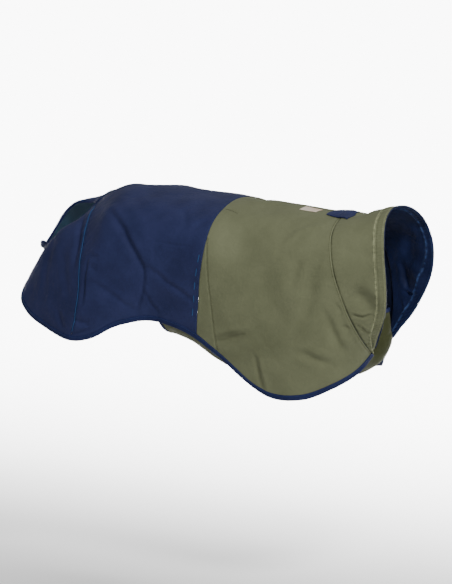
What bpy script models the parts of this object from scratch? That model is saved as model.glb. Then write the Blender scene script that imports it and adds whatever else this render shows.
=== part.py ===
"""A dog's rain jacket in the shape in which it is worn, open at the neck, the belly and the tail.

Metres. +X runs toward the head, +Y to the dog's left and +Z up. The origin is on the spine, where the
collar is sewn to the back. Each piece of cloth is a grid of outer points on one of three surfaces (coat,
collar and chest), with its wall on the inside of them. Along the coat a row number runs from the collar
seam to the middle of the rump, and q runs across it: -1 at the right hem, 0 at the top line and +1 at the
left hem.
"""

from typing import NamedTuple

import bpy
import numpy as np
from mathutils import Matrix, Vector

# Cloth and sewing
WALL = 0.0016
SEAM_GAP = 0.0005
HEM_BINDING_WIDTH = 0.009
TAIL_BINDING_WIDTH = 0.006
CHEST_TAPE_WIDTH = 0.008
BINDING_WALL = 0.0024
BINDING_SWELL = 0.0005

# Rows of the coat at its seams, and where the tapes along its edges start
NAVY_ROW = 6.0
RUMP_ROW = 10.0
END_ROW = 14.0
HEM_TAPE_START = 0.06
TAIL_TAPE_START = 10.12

# The wedges: how far down the navy seam they start, and how many rows they take up at the hem
WEDGE_TOP = 12 / 27
WEDGE_ROWS_AT_HEM = 0.54

# How far the thigh panels stand back from the middle of the rump
RUMP_SET_BACK = 0.0010

# How finely each piece is divided. The coat's tapes have the same rows as the panels beside them.
HALF_COLUMNS = 27
FRONT_STEPS = 13
WEDGE_STEPS = 3
SADDLE_STEPS = 12
THIGH_STEPS = 14
THIGH_COLUMNS = 17
TAPE_POINTS = 3
CHEST_POINTS = 11
CHEST_FRONT_STEPS = 16
CHEST_LEG_STEPS = 8
CHEST_REAR_POINTS = 5
LINING_ROWS = 6
LINING_COLUMNS = 49
PATCH_ROWS = 6
PATCH_COLUMNS = 8

# A small step along a surface, by which its slope is measured
STEP = 1e-4

# Colours: red, green, blue and roughness
NAVY = (0.021, 0.029, 0.085, 0.62)
OLIVE = (0.190, 0.198, 0.110, 0.66)
LINING_NAVY = (0.008, 0.012, 0.034, 0.50)
BINDING_NAVY = (0.014, 0.022, 0.075, 0.70)
OFF_WHITE = (0.560, 0.560, 0.540, 0.60)


class Section(NamedTuple):
    """One section of half of the coat, a curve from its top line down to its hem.

    The curve leaves the top outward by reach, with lift and lean_top, and comes down to the hem from a point
    that lies out from it by flare, above it by rise and ahead of it by lean_hem. turn is how far outward has
    turned from the dog's side toward its tail, in degrees.
    """

    x_top: float
    y_top: float
    z_top: float
    x_hem: float
    y_hem: float
    z_hem: float
    reach: float
    lift: float
    lean_top: float
    flare: float
    rise: float
    lean_hem: float
    turn: float


COAT = (
    # x_top, y_top, z_top, x_hem, y_hem, z_hem, reach, lift, lean_top, flare, rise, lean_hem, turn
    Section(0.000, 0, 0.0000, 0.0580, 0.016, -0.2160, 0.135, 0.000, 0.004, 0.089, 0.056, 0.002, 0),
    Section(-0.030, 0, 0.0000, 0.0430, 0.042, -0.2430, 0.135, 0.000, 0.002, 0.070, 0.075, -0.014, 0),
    Section(-0.063, 0, 0.0000, 0.0150, 0.072, -0.2640, 0.133, 0.000, 0.000, 0.045, 0.095, -0.020, 0),
    Section(-0.100, 0, 0.0010, -0.0280, 0.092, -0.2810, 0.131, 0.000, 0.000, 0.026, 0.110, -0.022, 0),
    Section(-0.138, 0, 0.0010, -0.0780, 0.099, -0.2810, 0.130, 0.000, 0.002, 0.022, 0.125, -0.018, 0),
    Section(-0.166, 0, 0.0022, -0.1380, 0.103, -0.2455, 0.130, 0.000, 0.004, 0.022, 0.130, -0.005, 0),
    Section(-0.192, 0, 0.0028, -0.2075, 0.107, -0.2015, 0.130, 0.000, 0.009, 0.023, 0.140, 0.019, 0),
    Section(-0.255, 0, 0.0040, -0.2780, 0.108, -0.1815, 0.128, 0.000, 0.005, 0.022, 0.125, 0.015, 0),
    Section(-0.325, 0, 0.0050, -0.3380, 0.118, -0.1930, 0.128, 0.000, 0.006, 0.018, 0.120, 0.010, 0),
    Section(-0.385, 0, -0.0020, -0.3830, 0.128, -0.2155, 0.128, 0.000, 0.012, 0.018, 0.110, 0.020, 0),
)

REAR_RIGHT = (
    Section(-0.4347, 0.000, -0.0310, -0.4210, 0.130, -0.2185, 0.130, -0.010, 0.022, 0.020, 0.070, 0.040, 0),
    Section(-0.4460, 0.030, -0.0520, -0.4680, 0.118, -0.2120, 0.070, 0.010, 0.030, 0.016, 0.075, 0.030, 15),
    Section(-0.4660, 0.042, -0.0700, -0.5090, 0.103, -0.1945, 0.040, 0.012, 0.010, 0.008, 0.060, 0.024, 40),
    Section(-0.4930, 0.038, -0.0920, -0.5310, 0.080, -0.1690, 0.018, 0.003, 0.004, 0.000, 0.035, 0.016, 62),
    Section(-0.5345, 0.000, -0.1115, -0.5330, 0.000, -0.1405, 0.002, -0.010, 0.000, 0.002, 0.010, 0.000, 90),
)

REAR_LEFT = (
    Section(-0.4347, 0.000, -0.0310, -0.4210, 0.130, -0.2185, 0.100, 0.045, 0.012, 0.020, 0.090, 0.030, 0),
    Section(-0.4615, 0.025, -0.0400, -0.4680, 0.118, -0.2120, 0.070, 0.030, 0.020, 0.016, 0.085, 0.020, 15),
    Section(-0.4977, 0.040, -0.0507, -0.5090, 0.103, -0.1945, 0.040, 0.010, 0.005, 0.012, 0.070, 0.015, 40),
    Section(-0.5218, 0.032, -0.0792, -0.5310, 0.080, -0.1690, 0.018, 0.004, 0.000, 0.004, 0.040, 0.008, 62),
    Section(-0.5345, 0.000, -0.1115, -0.5330, 0.000, -0.1405, 0.002, -0.010, 0.000, 0.002, 0.010, 0.000, 90),
)

# The collar's rim, for half of the collar: a curve from its top to the bottom of the throat
RIM_TOP = (0.085, 0.000, 0.022)
RIM_REACH = (0.097, 0.105, 0.022)
RIM_RISE = (0.147, 0.088, -0.130)
RIM_BOTTOM = (0.0565, 0.0145, -0.2110)

# The collar from its seam (0) to its rim (1): its rows of points, and the puckers of its stitched hem
COLLAR_ROWS = (0.0, 0.3, 0.58, 0.80, 0.90, 1.0)
COLLAR_HEM = 0.80
PUCKER_WAVES = 24
PUCKER_DEPTH = 0.0008

# The lining stands back from the collar's rim and ends short of the throat
LINING_SET_BACK = 0.004
LINING_END_Q = 0.955


class ChestRow(NamedTuple):
    """One row of the chest panel: its middle, its half width, and how far its edges stand back and up."""

    x: float
    z: float
    half_width: float
    edge_back: float
    edge_up: float


CHEST = (
    # x, z, half_width, edge_back, edge_up
    ChestRow(0.0720, -0.1460, 0.026, 0.0088, 0.000),
    ChestRow(0.0710, -0.1680, 0.034, 0.0145, 0.000),
    ChestRow(0.0684, -0.1890, 0.040, 0.0185, 0.001),
    ChestRow(0.0603, -0.2060, 0.044, 0.0180, 0.003),
    ChestRow(0.0486, -0.2220, 0.047, 0.0145, 0.006),
    ChestRow(0.0320, -0.2370, 0.051, 0.0085, 0.009),
    ChestRow(0.0100, -0.2520, 0.055, 0.0030, 0.012),
    ChestRow(-0.0230, -0.2660, 0.058, 0.0000, 0.013),
    ChestRow(-0.0680, -0.2750, 0.062, 0.0000, 0.014),
    ChestRow(-0.1080, -0.2740, 0.072, 0.0000, 0.018),
    ChestRow(-0.1480, -0.2670, 0.086, 0.0000, 0.026),
    ChestRow(-0.1880, -0.2515, 0.098, 0.0000, 0.038),
    ChestRow(-0.2280, -0.2340, 0.1046, 0.0000, 0.046),
    ChestRow(-0.2780, -0.2190, 0.1062, 0.0000, 0.046),
)

# Rows of the chest panel that its tapes take up. Behind the leg tapes it widens over the jog.
CHEST_END = len(CHEST) - 1.0
THROAT_TAPE_ROWS = 0.28
LEG_TAPE_START = 8.0
LEG_TAPE_END = 11.0
CHEST_JOG_ROWS = 0.25
BELLY_TAPE_ROWS = 0.16


class Fold(NamedTuple):
    """A soft trough in the coat's right side, between two points of the side view. The left side has it too."""

    x_start: float
    z_start: float
    x_end: float
    z_end: float
    width: float
    depth: float


FOLDS = (
    # x_start, z_start, x_end, z_end, width, depth
    Fold(-0.370, -0.028, -0.300, -0.090, 0.010, 0.0030),
    Fold(-0.300, -0.090, -0.296, -0.135, 0.011, 0.0042),
    Fold(-0.272, -0.080, -0.215, -0.140, 0.012, 0.0030),
    Fold(-0.393, -0.080, -0.394, -0.150, 0.007, 0.0028),
    Fold(-0.410, -0.188, -0.380, -0.194, 0.008, 0.0025),
    Fold(-0.101, -0.077, -0.051, -0.108, 0.016, 0.0040),
    Fold(-0.021, -0.093, 0.010, -0.145, 0.014, 0.0036),
    Fold(0.010, -0.150, 0.034, -0.190, 0.012, 0.0030),
    Fold(-0.030, -0.208, 0.012, -0.222, 0.012, 0.0030),
    Fold(-0.101, -0.222, -0.094, -0.258, 0.011, 0.0035),
    Fold(-0.168, -0.200, -0.125, -0.186, 0.012, 0.0028),
    Fold(-0.094, -0.030, -0.070, -0.012, 0.014, 0.0022),
)

# The left side's folds lie further back and are shallower. None reaches the top line or the collar seam.
LEFT_FOLD_SHIFT = 0.014
LEFT_FOLD_DEPTH = 0.8
FOLD_FREE_Q = 0.10
FOLD_FREE_ROWS = 0.8


class Patch(NamedTuple):
    """A small piece that lies on the back: its middle, half of each side, and how much its ends narrow."""

    x: float
    half_length: float
    half_width: float
    narrowing: float
    wall: float


LEASH_FLAP = Patch(-0.0175, 0.0155, 0.032, 0.35, 0.0016)
LABEL = Patch(-0.0580, 0.0170, 0.024, 0.0, 0.0010)
TAIL_TAB_SIZE = (0.004, 0.010, 0.008)
TAIL_TAB_PLACE = (-0.5380, 0.0, -0.1105)
TAIL_TAB_BEVEL = 0.0012
TAIL_TAB_BEVEL_STEPS = 2


def smooth_rows(table, at):
    """The columns of a table at these row numbers, by a smooth curve through its rows."""
    values = np.array(table, dtype=float)
    last = len(values) - 1
    at = np.clip(at, 0.0, float(last))
    low = np.minimum(at.astype(int), last - 1)
    part = (at - low)[..., None]
    before = values[np.maximum(low - 1, 0)]
    start = values[low]
    end = values[low + 1]
    after = values[np.minimum(low + 2, last)]
    linear = end - before
    square = 2.0 * before - 5.0 * start + 4.0 * end - after
    cube = 3.0 * (start - end) + after - before
    return start + 0.5 * part * (linear + part * (square + part * cube))


def bezier(first, second, third, fourth, along):
    """Points on a cubic curve, at along from 0 to 1."""
    back = 1.0 - along
    ends = back**3 * first + along**3 * fourth
    return ends + 3.0 * back * along * (back * second + along * third)


def unit(vectors):
    """The same directions with length 1."""
    length = np.linalg.norm(vectors, axis=-1, keepdims=True)
    return vectors / np.maximum(length, 1e-12)


def coat_controls(row, side):
    """The four control points of the coat's sections at these rows, on the side -1 or +1."""
    right = Section(*np.moveaxis(smooth_rows(COAT + REAR_RIGHT, row), -1, 0))
    left = Section(*np.moveaxis(smooth_rows(COAT + REAR_LEFT, row), -1, 0))
    here = Section(*(np.where(side < 0.0, a, b) for a, b in zip(right, left)))
    angle = np.radians(here.turn)
    out = np.stack([-np.sin(angle), side * np.cos(angle), np.zeros_like(angle)], axis=-1)
    top = np.stack([here.x_top, side * here.y_top, here.z_top], axis=-1)
    hem = np.stack([here.x_hem, side * here.y_hem, here.z_hem], axis=-1)
    none = np.zeros_like(here.reach)
    from_top = top + here.reach[..., None] * out + np.stack([here.lean_top, none, here.lift], axis=-1)
    from_hem = hem + here.flare[..., None] * out + np.stack([here.lean_hem, none, here.rise], axis=-1)
    return top, from_top, from_hem, hem


def coat_form(row, q):
    """Points of the coat with no folds."""
    side = np.where(q < 0.0, -1.0, 1.0)
    return bezier(*coat_controls(row, side), np.abs(q)[..., None])


def collar_form(v, q):
    """Points of the collar with no puckers: v runs from its seam (0) to its rim (1)."""
    side = np.where(q < 0.0, -1.0, 1.0)
    mirror = np.stack([np.ones_like(side), side, np.ones_like(side)], axis=-1)
    seam = coat_form(np.zeros_like(q), q)
    rim = mirror * bezier(*map(np.array, (RIM_TOP, RIM_REACH, RIM_RISE, RIM_BOTTOM)), np.abs(q)[..., None])
    return seam + v[..., None] * (rim - seam)


def chest_form(row, w):
    """Points of the chest panel: w runs from its right edge (-1) to its left edge (+1)."""
    here = ChestRow(*np.moveaxis(smooth_rows(CHEST, row), -1, 0))
    x = here.x - here.edge_back * w**2
    z = here.z + here.edge_up * w**4
    return np.stack([x, here.half_width * w, z], axis=-1)


def outward(form, along, across):
    """Unit vectors square to a surface. Along it leads away from the head, and across it from right to left."""
    toward_tail = form(along + STEP, across) - form(along - STEP, across)
    toward_left = form(along, across + STEP) - form(along, across - STEP)
    return unit(np.cross(toward_left, toward_tail))


def trough(points, row, q):
    """How deep the folds press the coat in at these points."""
    depth = np.zeros(points.shape[:-1])
    for fold in FOLDS:
        for on_side, shift, share in ((q < 0.0, 0.0, 1.0), (q >= 0.0, LEFT_FOLD_SHIFT, LEFT_FOLD_DEPTH)):
            start = np.array([fold.x_start - shift, fold.z_start])
            run = np.array([fold.x_end - shift, fold.z_end]) - start
            from_start = points[..., (0, 2)] - start
            along = np.clip(from_start @ run / (run @ run), 0.0, 1.0)
            distance = np.linalg.norm(from_start - along[..., None] * run, axis=-1)
            depth += on_side * share * fold.depth * np.exp(-((distance / fold.width) ** 2))
    free = np.clip(np.abs(q) / FOLD_FREE_Q - 1.0, 0.0, 1.0) * np.clip(row / FOLD_FREE_ROWS, 0.0, 1.0)
    return depth * free


def coat_point(row, q, off=0.0):
    """Points of the coat with its folds, moved out from it by off."""
    shifted = np.where(np.abs(q) < STEP, STEP, q)
    inside = np.clip(row, STEP, END_ROW - STEP)
    form = coat_form(row, q)
    rise = np.broadcast_to(off, form.shape[:-1]) - trough(form, row, q)
    return form + rise[..., None] * outward(coat_form, inside, shifted)


def collar_point(v, q, off=0.0):
    """Points of the collar, moved out from it by off."""
    shifted = np.where(np.abs(q) < STEP, STEP, q)
    away = -outward(collar_form, v, shifted)
    return collar_form(v, q) + np.broadcast_to(off, q.shape)[..., None] * away


def chest_point(row, w, off=0.0):
    """Points of the chest panel, moved out from it by off."""
    inside = np.clip(row, STEP, CHEST_END - STEP)
    away = -outward(chest_form, inside, w)
    return chest_form(row, w) + np.broadcast_to(off, w.shape)[..., None] * away


def hem_edge(row, side):
    """The value of |q| at which the hem's binding starts."""
    from_hem, hem = coat_controls(row, side)[2:]
    return 1.0 - HEM_BINDING_WIDTH / (3.0 * np.linalg.norm(hem - from_hem, axis=-1))


def tail_edge(row, side):
    """The value of |q| at which the tail opening's binding ends."""
    top, from_top = coat_controls(row, side)[:2]
    return TAIL_BINDING_WIDTH / (3.0 * np.linalg.norm(from_top - top, axis=-1) + 1e-6)


def drawn_in(points, axis, end, distance):
    """A grid whose border, first (0) or last (-1) along an axis, is drawn in from a seam."""
    grid = np.moveaxis(points, axis, 0)
    inner = grid[1] if end == 0 else grid[-2]
    grid[end] += unit(inner - grid[end]) * distance
    return points


def seams_open(points, sides=((0, 0), (0, -1), (1, 0), (1, -1))):
    """A grid whose borders, each an axis and an end, stand half a seam's gap back from the seam."""
    for axis, end in sides:
        drawn_in(points, axis, end, SEAM_GAP / 2)
    return points


def material(name, finish):
    """A plain material: its colour, and how rough it is."""
    made = bpy.data.materials.new(name)
    made.use_nodes = True
    shader = made.node_tree.nodes["Principled BSDF"]
    shader.inputs["Base Color"].default_value = (*finish[:3], 1.0)
    shader.inputs["Roughness"].default_value = finish[3]
    shader.inputs["Metallic"].default_value = 0.0
    return made


def placed(name, mesh, finish):
    """An object of this mesh in the jacket's collection, with its own material."""
    mesh.materials.append(material(name + "_cloth", finish))
    piece = bpy.data.objects.new(name, mesh)
    bpy.data.collections["dog_rain_jacket"].objects.link(piece)
    return piece


def cloth(name, points, finish, wall=WALL):
    """A piece of cloth: a grid of outer points, with a wall on the inside of them."""
    rows, columns = points.shape[:2]
    index = np.arange(rows * columns).reshape(rows, columns)
    corners = (index[:-1, :-1], index[:-1, 1:], index[1:, 1:], index[1:, :-1])
    faces = np.stack(corners, axis=-1).reshape(-1, 4)
    mesh = bpy.data.meshes.new(name)
    mesh.from_pydata(points.reshape(-1, 3).tolist(), [], faces.tolist())
    thickness = placed(name, mesh, finish).modifiers.new("Wall", "SOLIDIFY")
    thickness.thickness = wall
    thickness.offset = -1.0


def spread(rows, columns):
    """Two grids of shares from 0 to 1, down the rows and along the columns."""
    return np.meshgrid(np.linspace(0.0, 1.0, rows), np.linspace(0.0, 1.0, columns), indexing="ij")


def wedge_seam(share):
    """The row of the wedge's front seam, which leaves the navy seam at mid-side. share is 1 at the hem."""
    below = np.clip((share - WEDGE_TOP) / (1.0 - WEDGE_TOP), 0.0, 1.0)
    return NAVY_ROW - WEDGE_ROWS_AT_HEM * below


def front_panel():
    """The olive panel over the shoulders, from the collar seam to the navy one, with room for the wedges."""
    down, along = spread(FRONT_STEPS + 1, 2 * HALF_COLUMNS + 1)
    share = 2.0 * along - 1.0
    row = down * wedge_seam(np.abs(share))
    cloth("front_panel", seams_open(coat_point(row, share * hem_edge(row, -1.0))), OLIVE)


def saddle():
    """The navy panel over the loin, from hem to hem."""
    down, along = spread(SADDLE_STEPS + 1, 2 * HALF_COLUMNS + 1)
    row = NAVY_ROW + (RUMP_ROW - NAVY_ROW) * down
    q = hem_edge(row, -1.0) * (2.0 * along - 1.0)
    cloth("saddle", seams_open(coat_point(row, q)), NAVY)


def wedge(name, side):
    """The olive wedge let into the navy seam, from mid-side to the hem."""
    first = round(WEDGE_TOP * HALF_COLUMNS) + 1
    down = np.linspace(0.0, 1.0, WEDGE_STEPS + 1)[:, None]
    share = np.arange(first, HALF_COLUMNS + 1) / HALF_COLUMNS
    row = wedge_seam(share) * (1.0 - down) + NAVY_ROW * down
    points = seams_open(coat_point(row, side * share * hem_edge(row, side)))
    cloth(name, points if side > 0.0 else points[:, ::-1], OLIVE)


def thigh(name, side):
    """The navy panel round one thigh, from the rump seam to the middle of the rump."""
    down, along = spread(THIGH_STEPS + 1, THIGH_COLUMNS + 1)
    row = RUMP_ROW + (END_ROW - RUMP_ROW) * down
    top = tail_edge(row, side)
    q = side * (top + (hem_edge(row, side) - top) * along)
    points = seams_open(coat_point(row, q))
    drawn_in(points, 0, -1, RUMP_SET_BACK)
    cloth(name, points if side > 0.0 else points[:, ::-1], NAVY)


def tape_across():
    """The shares across a tape, and how far its swell stands out at each of them."""
    share = np.linspace(0.0, 1.0, TAPE_POINTS)
    return share, BINDING_SWELL * (1.0 + np.sin(np.pi * share))


def coat_tape(name, row, outer, inner):
    """A tape along an edge of the coat: down the right side, round the rump and back along the left side.

    outer and inner give |q| at the tape's two long sides for a row and a side.
    """
    share, swell = tape_across()
    halves = []
    for side in (-1.0, 1.0):
        near, far = outer(row, side)[:, None], inner(row, side)[:, None]
        q = side * (near + (far - near) * share)
        halves.append(coat_point(row[:, None] * np.ones_like(q), q, swell))
    cloth(name, np.concatenate([halves[0], halves[1][-2::-1]]), BINDING_NAVY, BINDING_WALL)


def coat_tapes():
    """The tapes round the coat's lower edge and the tail opening, with the rows of the panels beside them."""
    front = wedge_seam(1.0) * np.linspace(0.0, 1.0, FRONT_STEPS + 1)
    front[0] = HEM_TAPE_START
    beside_wedge = np.linspace(wedge_seam(1.0), NAVY_ROW, WEDGE_STEPS + 1)
    beside_saddle = np.linspace(NAVY_ROW, RUMP_ROW, SADDLE_STEPS + 1)
    beside_thigh = np.linspace(RUMP_ROW, END_ROW, THIGH_STEPS + 1)
    round_hem = np.concatenate([front[:-1], beside_wedge[:-1], beside_saddle[:-1], beside_thigh])
    coat_tape("hem_binding", round_hem, lambda row, side: np.ones_like(row), hem_edge)
    round_tail = np.concatenate([[TAIL_TAPE_START], beside_thigh[1:]])
    coat_tape("tail_binding", round_tail, tail_edge, lambda row, side: np.full_like(row, STEP))


def collar_shell():
    """The olive collar, with small puckers round its stitched hem."""
    v, q = np.meshgrid(COLLAR_ROWS, np.linspace(-1.0, 1.0, 4 * PUCKER_WAVES + 1), indexing="ij")
    in_hem = np.clip((v - COLLAR_HEM) / (1.0 - COLLAR_HEM), 0.0, 1.0)
    pucker = PUCKER_DEPTH * np.sin(np.pi * in_hem) * (0.5 + 0.5 * np.cos(PUCKER_WAVES * np.pi * q))
    points = seams_open(collar_point(v, q, pucker), sides=((0, 0),))
    cloth("collar_shell", points[::-1], OLIVE)


def collar_lining():
    """The navy lining of the collar, from its rim down to its seam."""
    v, along = spread(LINING_ROWS, LINING_COLUMNS)
    q = LINING_END_Q * (2.0 * along - 1.0)
    points = collar_point(v, q, -(WALL + 2.0 * SEAM_GAP))
    drawn_in(points, 0, 0, LINING_SET_BACK)
    cloth("collar_lining", points[::-1], LINING_NAVY)


def chest_edge(row):
    """The value of |w| at the chest panel's edge, drawn in for the tapes as far as the leg openings reach."""
    tape = np.where(row <= LEG_TAPE_END, CHEST_TAPE_WIDTH, 0.0)
    return 1.0 - tape / smooth_rows(CHEST, row)[..., 2]


def chest_panel(beside_legs, rear, across):
    """The olive panel from the throat, between the front legs and under the belly."""
    to_legs = np.linspace(THROAT_TAPE_ROWS, LEG_TAPE_START, CHEST_FRONT_STEPS + 1)
    to_rear = np.linspace(LEG_TAPE_END + CHEST_JOG_ROWS, rear, CHEST_REAR_POINTS)
    row = np.concatenate([to_legs[:-1], beside_legs, to_rear])[:, None] * np.ones_like(across)
    cloth("chest_panel", seams_open(chest_point(row, chest_edge(row) * across)), OLIVE)


def chest_tapes(beside_legs, rear, across):
    """The tapes on the chest panel's throat edge, on its rear edge and beside the two leg openings."""
    share, swell = tape_across()
    row = THROAT_TAPE_ROWS * share[:, None] * np.ones_like(across)
    throat = chest_point(row, chest_edge(row) * across, swell[:, None])
    cloth("throat_binding", seams_open(throat, sides=((0, -1),)), BINDING_NAVY, BINDING_WALL)
    row = rear + BELLY_TAPE_ROWS * share[:, None] * np.ones_like(across)
    belly = chest_point(row, np.broadcast_to(across, row.shape), swell[:, None])
    cloth("belly_binding", seams_open(belly, sides=((0, 0),)), BINDING_NAVY, BINDING_WALL)
    row = beside_legs[:, None] * np.ones_like(share)
    edge = chest_edge(row)
    for name, side, outward_share in (("right", -1.0, share), ("left", 1.0, share[::-1])):
        w = side * (edge + (1.0 - edge) * outward_share)
        inner_side = 0 if side < 0.0 else -1
        points = seams_open(chest_point(row, w, swell), sides=((1, inner_side),))
        cloth("leg_binding_" + name, points, BINDING_NAVY, BINDING_WALL)


def chest_pieces():
    """The chest panel and its tapes."""
    beside_legs = np.linspace(LEG_TAPE_START, LEG_TAPE_END, CHEST_LEG_STEPS + 1)
    rear = CHEST_END - BELLY_TAPE_ROWS
    across = np.linspace(1.0, -1.0, CHEST_POINTS)
    chest_panel(beside_legs, rear, across)
    chest_tapes(beside_legs, rear, across)


def patch(name, form, finish):
    """A small piece that lies on the back, narrowed toward its ends."""
    down, along = spread(PATCH_ROWS, PATCH_COLUMNS)
    lengthwise = 1.0 - 2.0 * down
    x = form.x + form.half_length * lengthwise
    y = form.half_width * (2.0 * along - 1.0) * (1.0 - form.narrowing * lengthwise**2)
    tops = np.array([section.x_top for section in COAT])
    row = np.interp(-x, -tops, np.arange(len(COAT)))
    q = y / (3.0 * COAT[0].reach)
    cloth(name, coat_point(row, q, form.wall + SEAM_GAP), finish, form.wall)


def tail_tab():
    """The small stub of webbing behind the foot of the tail opening."""
    bpy.ops.mesh.primitive_cube_add(size=1.0, location=(0.0, 0.0, 0.0))
    block = bpy.context.object
    mesh = block.data
    mesh.transform(Matrix.LocRotScale(Vector(TAIL_TAB_PLACE), None, Vector(TAIL_TAB_SIZE)))
    bpy.data.objects.remove(block)
    bevel = placed("tail_tab", mesh, BINDING_NAVY).modifiers.new("Round", "BEVEL")
    bevel.width = TAIL_TAB_BEVEL
    bevel.segments = TAIL_TAB_BEVEL_STEPS


def main():
    """Builds every piece of the jacket."""
    for thing in list(bpy.data.objects):
        bpy.data.objects.remove(thing, do_unlink=True)
    bpy.context.scene.collection.children.link(bpy.data.collections.new("dog_rain_jacket"))
    front_panel()
    saddle()
    for name, side in (("right", -1.0), ("left", 1.0)):
        wedge("wedge_" + name, side)
        thigh("thigh_" + name, side)
    collar_shell()
    collar_lining()
    chest_pieces()
    coat_tapes()
    patch("leash_flap", LEASH_FLAP, NAVY)
    patch("label", LABEL, OFF_WHITE)
    tail_tab()


main()
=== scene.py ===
"""A dog's rain jacket in the shape in which it is worn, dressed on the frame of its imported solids.

Metres. +X runs toward the head, +Y to the dog's left and +Z up. The origin is on the spine, where the
collar is sewn to the back. Every panel is a surface over two numbers. On the coat they are row, from the
collar seam (0) to the middle of the rump (14), and q, from the right hem (-1) over the top line (0) to the
left hem (+1). On the collar they are v, from its seam (0) to its rim (1), and q. On the chest panel they are
row, from the throat (0) to the rear end (13), and w, from the right edge (-1) to the left edge (+1).
"""

import logging
from dataclasses import dataclass, replace
from enum import Enum
from typing import Callable, NamedTuple

import bpy
import numpy as np
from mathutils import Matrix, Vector


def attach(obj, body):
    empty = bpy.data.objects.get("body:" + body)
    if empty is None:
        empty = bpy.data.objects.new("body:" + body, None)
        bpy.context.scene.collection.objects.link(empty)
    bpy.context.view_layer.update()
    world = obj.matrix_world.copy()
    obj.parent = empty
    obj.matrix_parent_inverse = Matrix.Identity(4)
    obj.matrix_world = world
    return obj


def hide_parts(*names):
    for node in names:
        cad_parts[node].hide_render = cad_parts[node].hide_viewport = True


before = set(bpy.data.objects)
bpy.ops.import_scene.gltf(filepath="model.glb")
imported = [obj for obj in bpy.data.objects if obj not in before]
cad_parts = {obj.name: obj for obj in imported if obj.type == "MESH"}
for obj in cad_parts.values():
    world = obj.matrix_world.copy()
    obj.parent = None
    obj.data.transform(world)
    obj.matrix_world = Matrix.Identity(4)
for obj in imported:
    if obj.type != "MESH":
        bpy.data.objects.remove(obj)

LOG = logging.getLogger("rain_jacket")

Array = np.ndarray
Surface = Callable[[Array, Array], Array]
Path = Callable[[Array], tuple[Array, Array]]
Colour = tuple[float, float, float, float]
Triple = tuple[float, float, float]

CLOTH_UV = "cloth"
# The point attribute that pales the cloth: wear beside the seams, painted highlight on the collar's welt and
# rim
EDGE_WEAR_AND_HIGHLIGHT = "edge_wear_and_highlight"

NAVY_ROW = 6.0
RUMP_ROW = 10.0
END_ROW = 14.0
WEDGE_TOP = 12 / 27
WEDGE_ROWS_AT_HEM = 0.54
# The step over which slopes are taken, and the least q beside the top line
STEP = 1e-4
SIDES = (("right", -1.0), ("left", 1.0))
# The most wear that a seam shows, from 0 to 1
SEAM_WEAR = 0.12


class Section(NamedTuple):
    """One section of half of the coat: a cubic curve from its top line down to its hem.

    The curve leaves the top outward by reach, with lift and lean_top, and comes down to the hem from a point
    that lies out from it by flare, above it by rise and ahead of it by lean_hem. turn is how far outward has
    turned from the dog's side toward its tail, in degrees.
    """

    x_top: float
    y_top: float
    z_top: float
    x_hem: float
    y_hem: float
    z_hem: float
    reach: float
    lift: float
    lean_top: float
    flare: float
    rise: float
    lean_hem: float
    turn: float


COAT = (
    # x_top, y_top, z_top, x_hem, y_hem, z_hem, reach, lift, lean_top, flare, rise, lean_hem, turn
    Section(0.000, 0, 0.0000, 0.0580, 0.016, -0.2160, 0.135, 0.000, 0.004, 0.089, 0.056, 0.002, 0),
    Section(-0.030, 0, 0.0000, 0.0430, 0.042, -0.2430, 0.135, 0.000, 0.002, 0.070, 0.075, -0.014, 0),
    Section(-0.063, 0, 0.0000, 0.0150, 0.072, -0.2640, 0.133, 0.000, 0.000, 0.045, 0.095, -0.020, 0),
    Section(-0.100, 0, 0.0010, -0.0280, 0.092, -0.2810, 0.131, 0.000, 0.000, 0.026, 0.110, -0.022, 0),
    Section(-0.138, 0, 0.0010, -0.0850, 0.099, -0.2818, 0.130, 0.000, 0.002, 0.022, 0.125, -0.018, 0),
    Section(-0.166, 0, 0.0022, -0.1400, 0.103, -0.2472, 0.130, 0.000, 0.004, 0.022, 0.130, -0.005, 0),
    Section(-0.192, 0, 0.0028, -0.2075, 0.107, -0.2015, 0.130, 0.000, 0.009, 0.023, 0.140, 0.019, 0),
    Section(-0.255, 0, 0.0040, -0.2780, 0.108, -0.1815, 0.128, 0.000, 0.005, 0.022, 0.125, 0.015, 0),
    Section(-0.325, 0, 0.0050, -0.3380, 0.118, -0.1930, 0.128, 0.000, 0.006, 0.018, 0.120, 0.010, 0),
    Section(-0.385, 0, -0.0020, -0.3830, 0.128, -0.2168, 0.128, 0.000, 0.012, 0.018, 0.110, 0.020, 0),
)
REAR_RIGHT = (
    Section(-0.4347, 0.000, -0.0310, -0.4210, 0.130, -0.2235, 0.130, -0.010, 0.022, 0.020, 0.070, 0.040, 0),
    Section(-0.4460, 0.030, -0.0520, -0.4680, 0.118, -0.2120, 0.070, 0.010, 0.030, 0.016, 0.075, 0.030, 15),
    Section(-0.4660, 0.042, -0.0700, -0.5090, 0.103, -0.1945, 0.040, 0.012, 0.010, 0.008, 0.060, 0.024, 40),
    Section(-0.4930, 0.038, -0.0920, -0.5310, 0.080, -0.1690, 0.018, 0.003, 0.004, 0.000, 0.035, 0.016, 62),
    Section(-0.5345, 0.000, -0.1115, -0.5330, 0.000, -0.1405, 0.002, -0.010, 0.000, 0.002, 0.010, 0.000, 90),
)
REAR_LEFT = (
    Section(-0.4347, 0.000, -0.0310, -0.4210, 0.130, -0.2235, 0.100, 0.045, 0.012, 0.020, 0.090, 0.030, 0),
    Section(-0.4615, 0.025, -0.0400, -0.4680, 0.118, -0.2120, 0.070, 0.030, 0.020, 0.016, 0.085, 0.020, 15),
    Section(-0.4977, 0.040, -0.0507, -0.5090, 0.103, -0.1945, 0.040, 0.010, 0.005, 0.012, 0.070, 0.015, 40),
    Section(-0.5218, 0.032, -0.0792, -0.5310, 0.080, -0.1690, 0.018, 0.004, 0.000, 0.004, 0.040, 0.008, 62),
    Section(-0.5345, 0.000, -0.1115, -0.5330, 0.000, -0.1405, 0.002, -0.010, 0.000, 0.002, 0.010, 0.000, 90),
)


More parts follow.
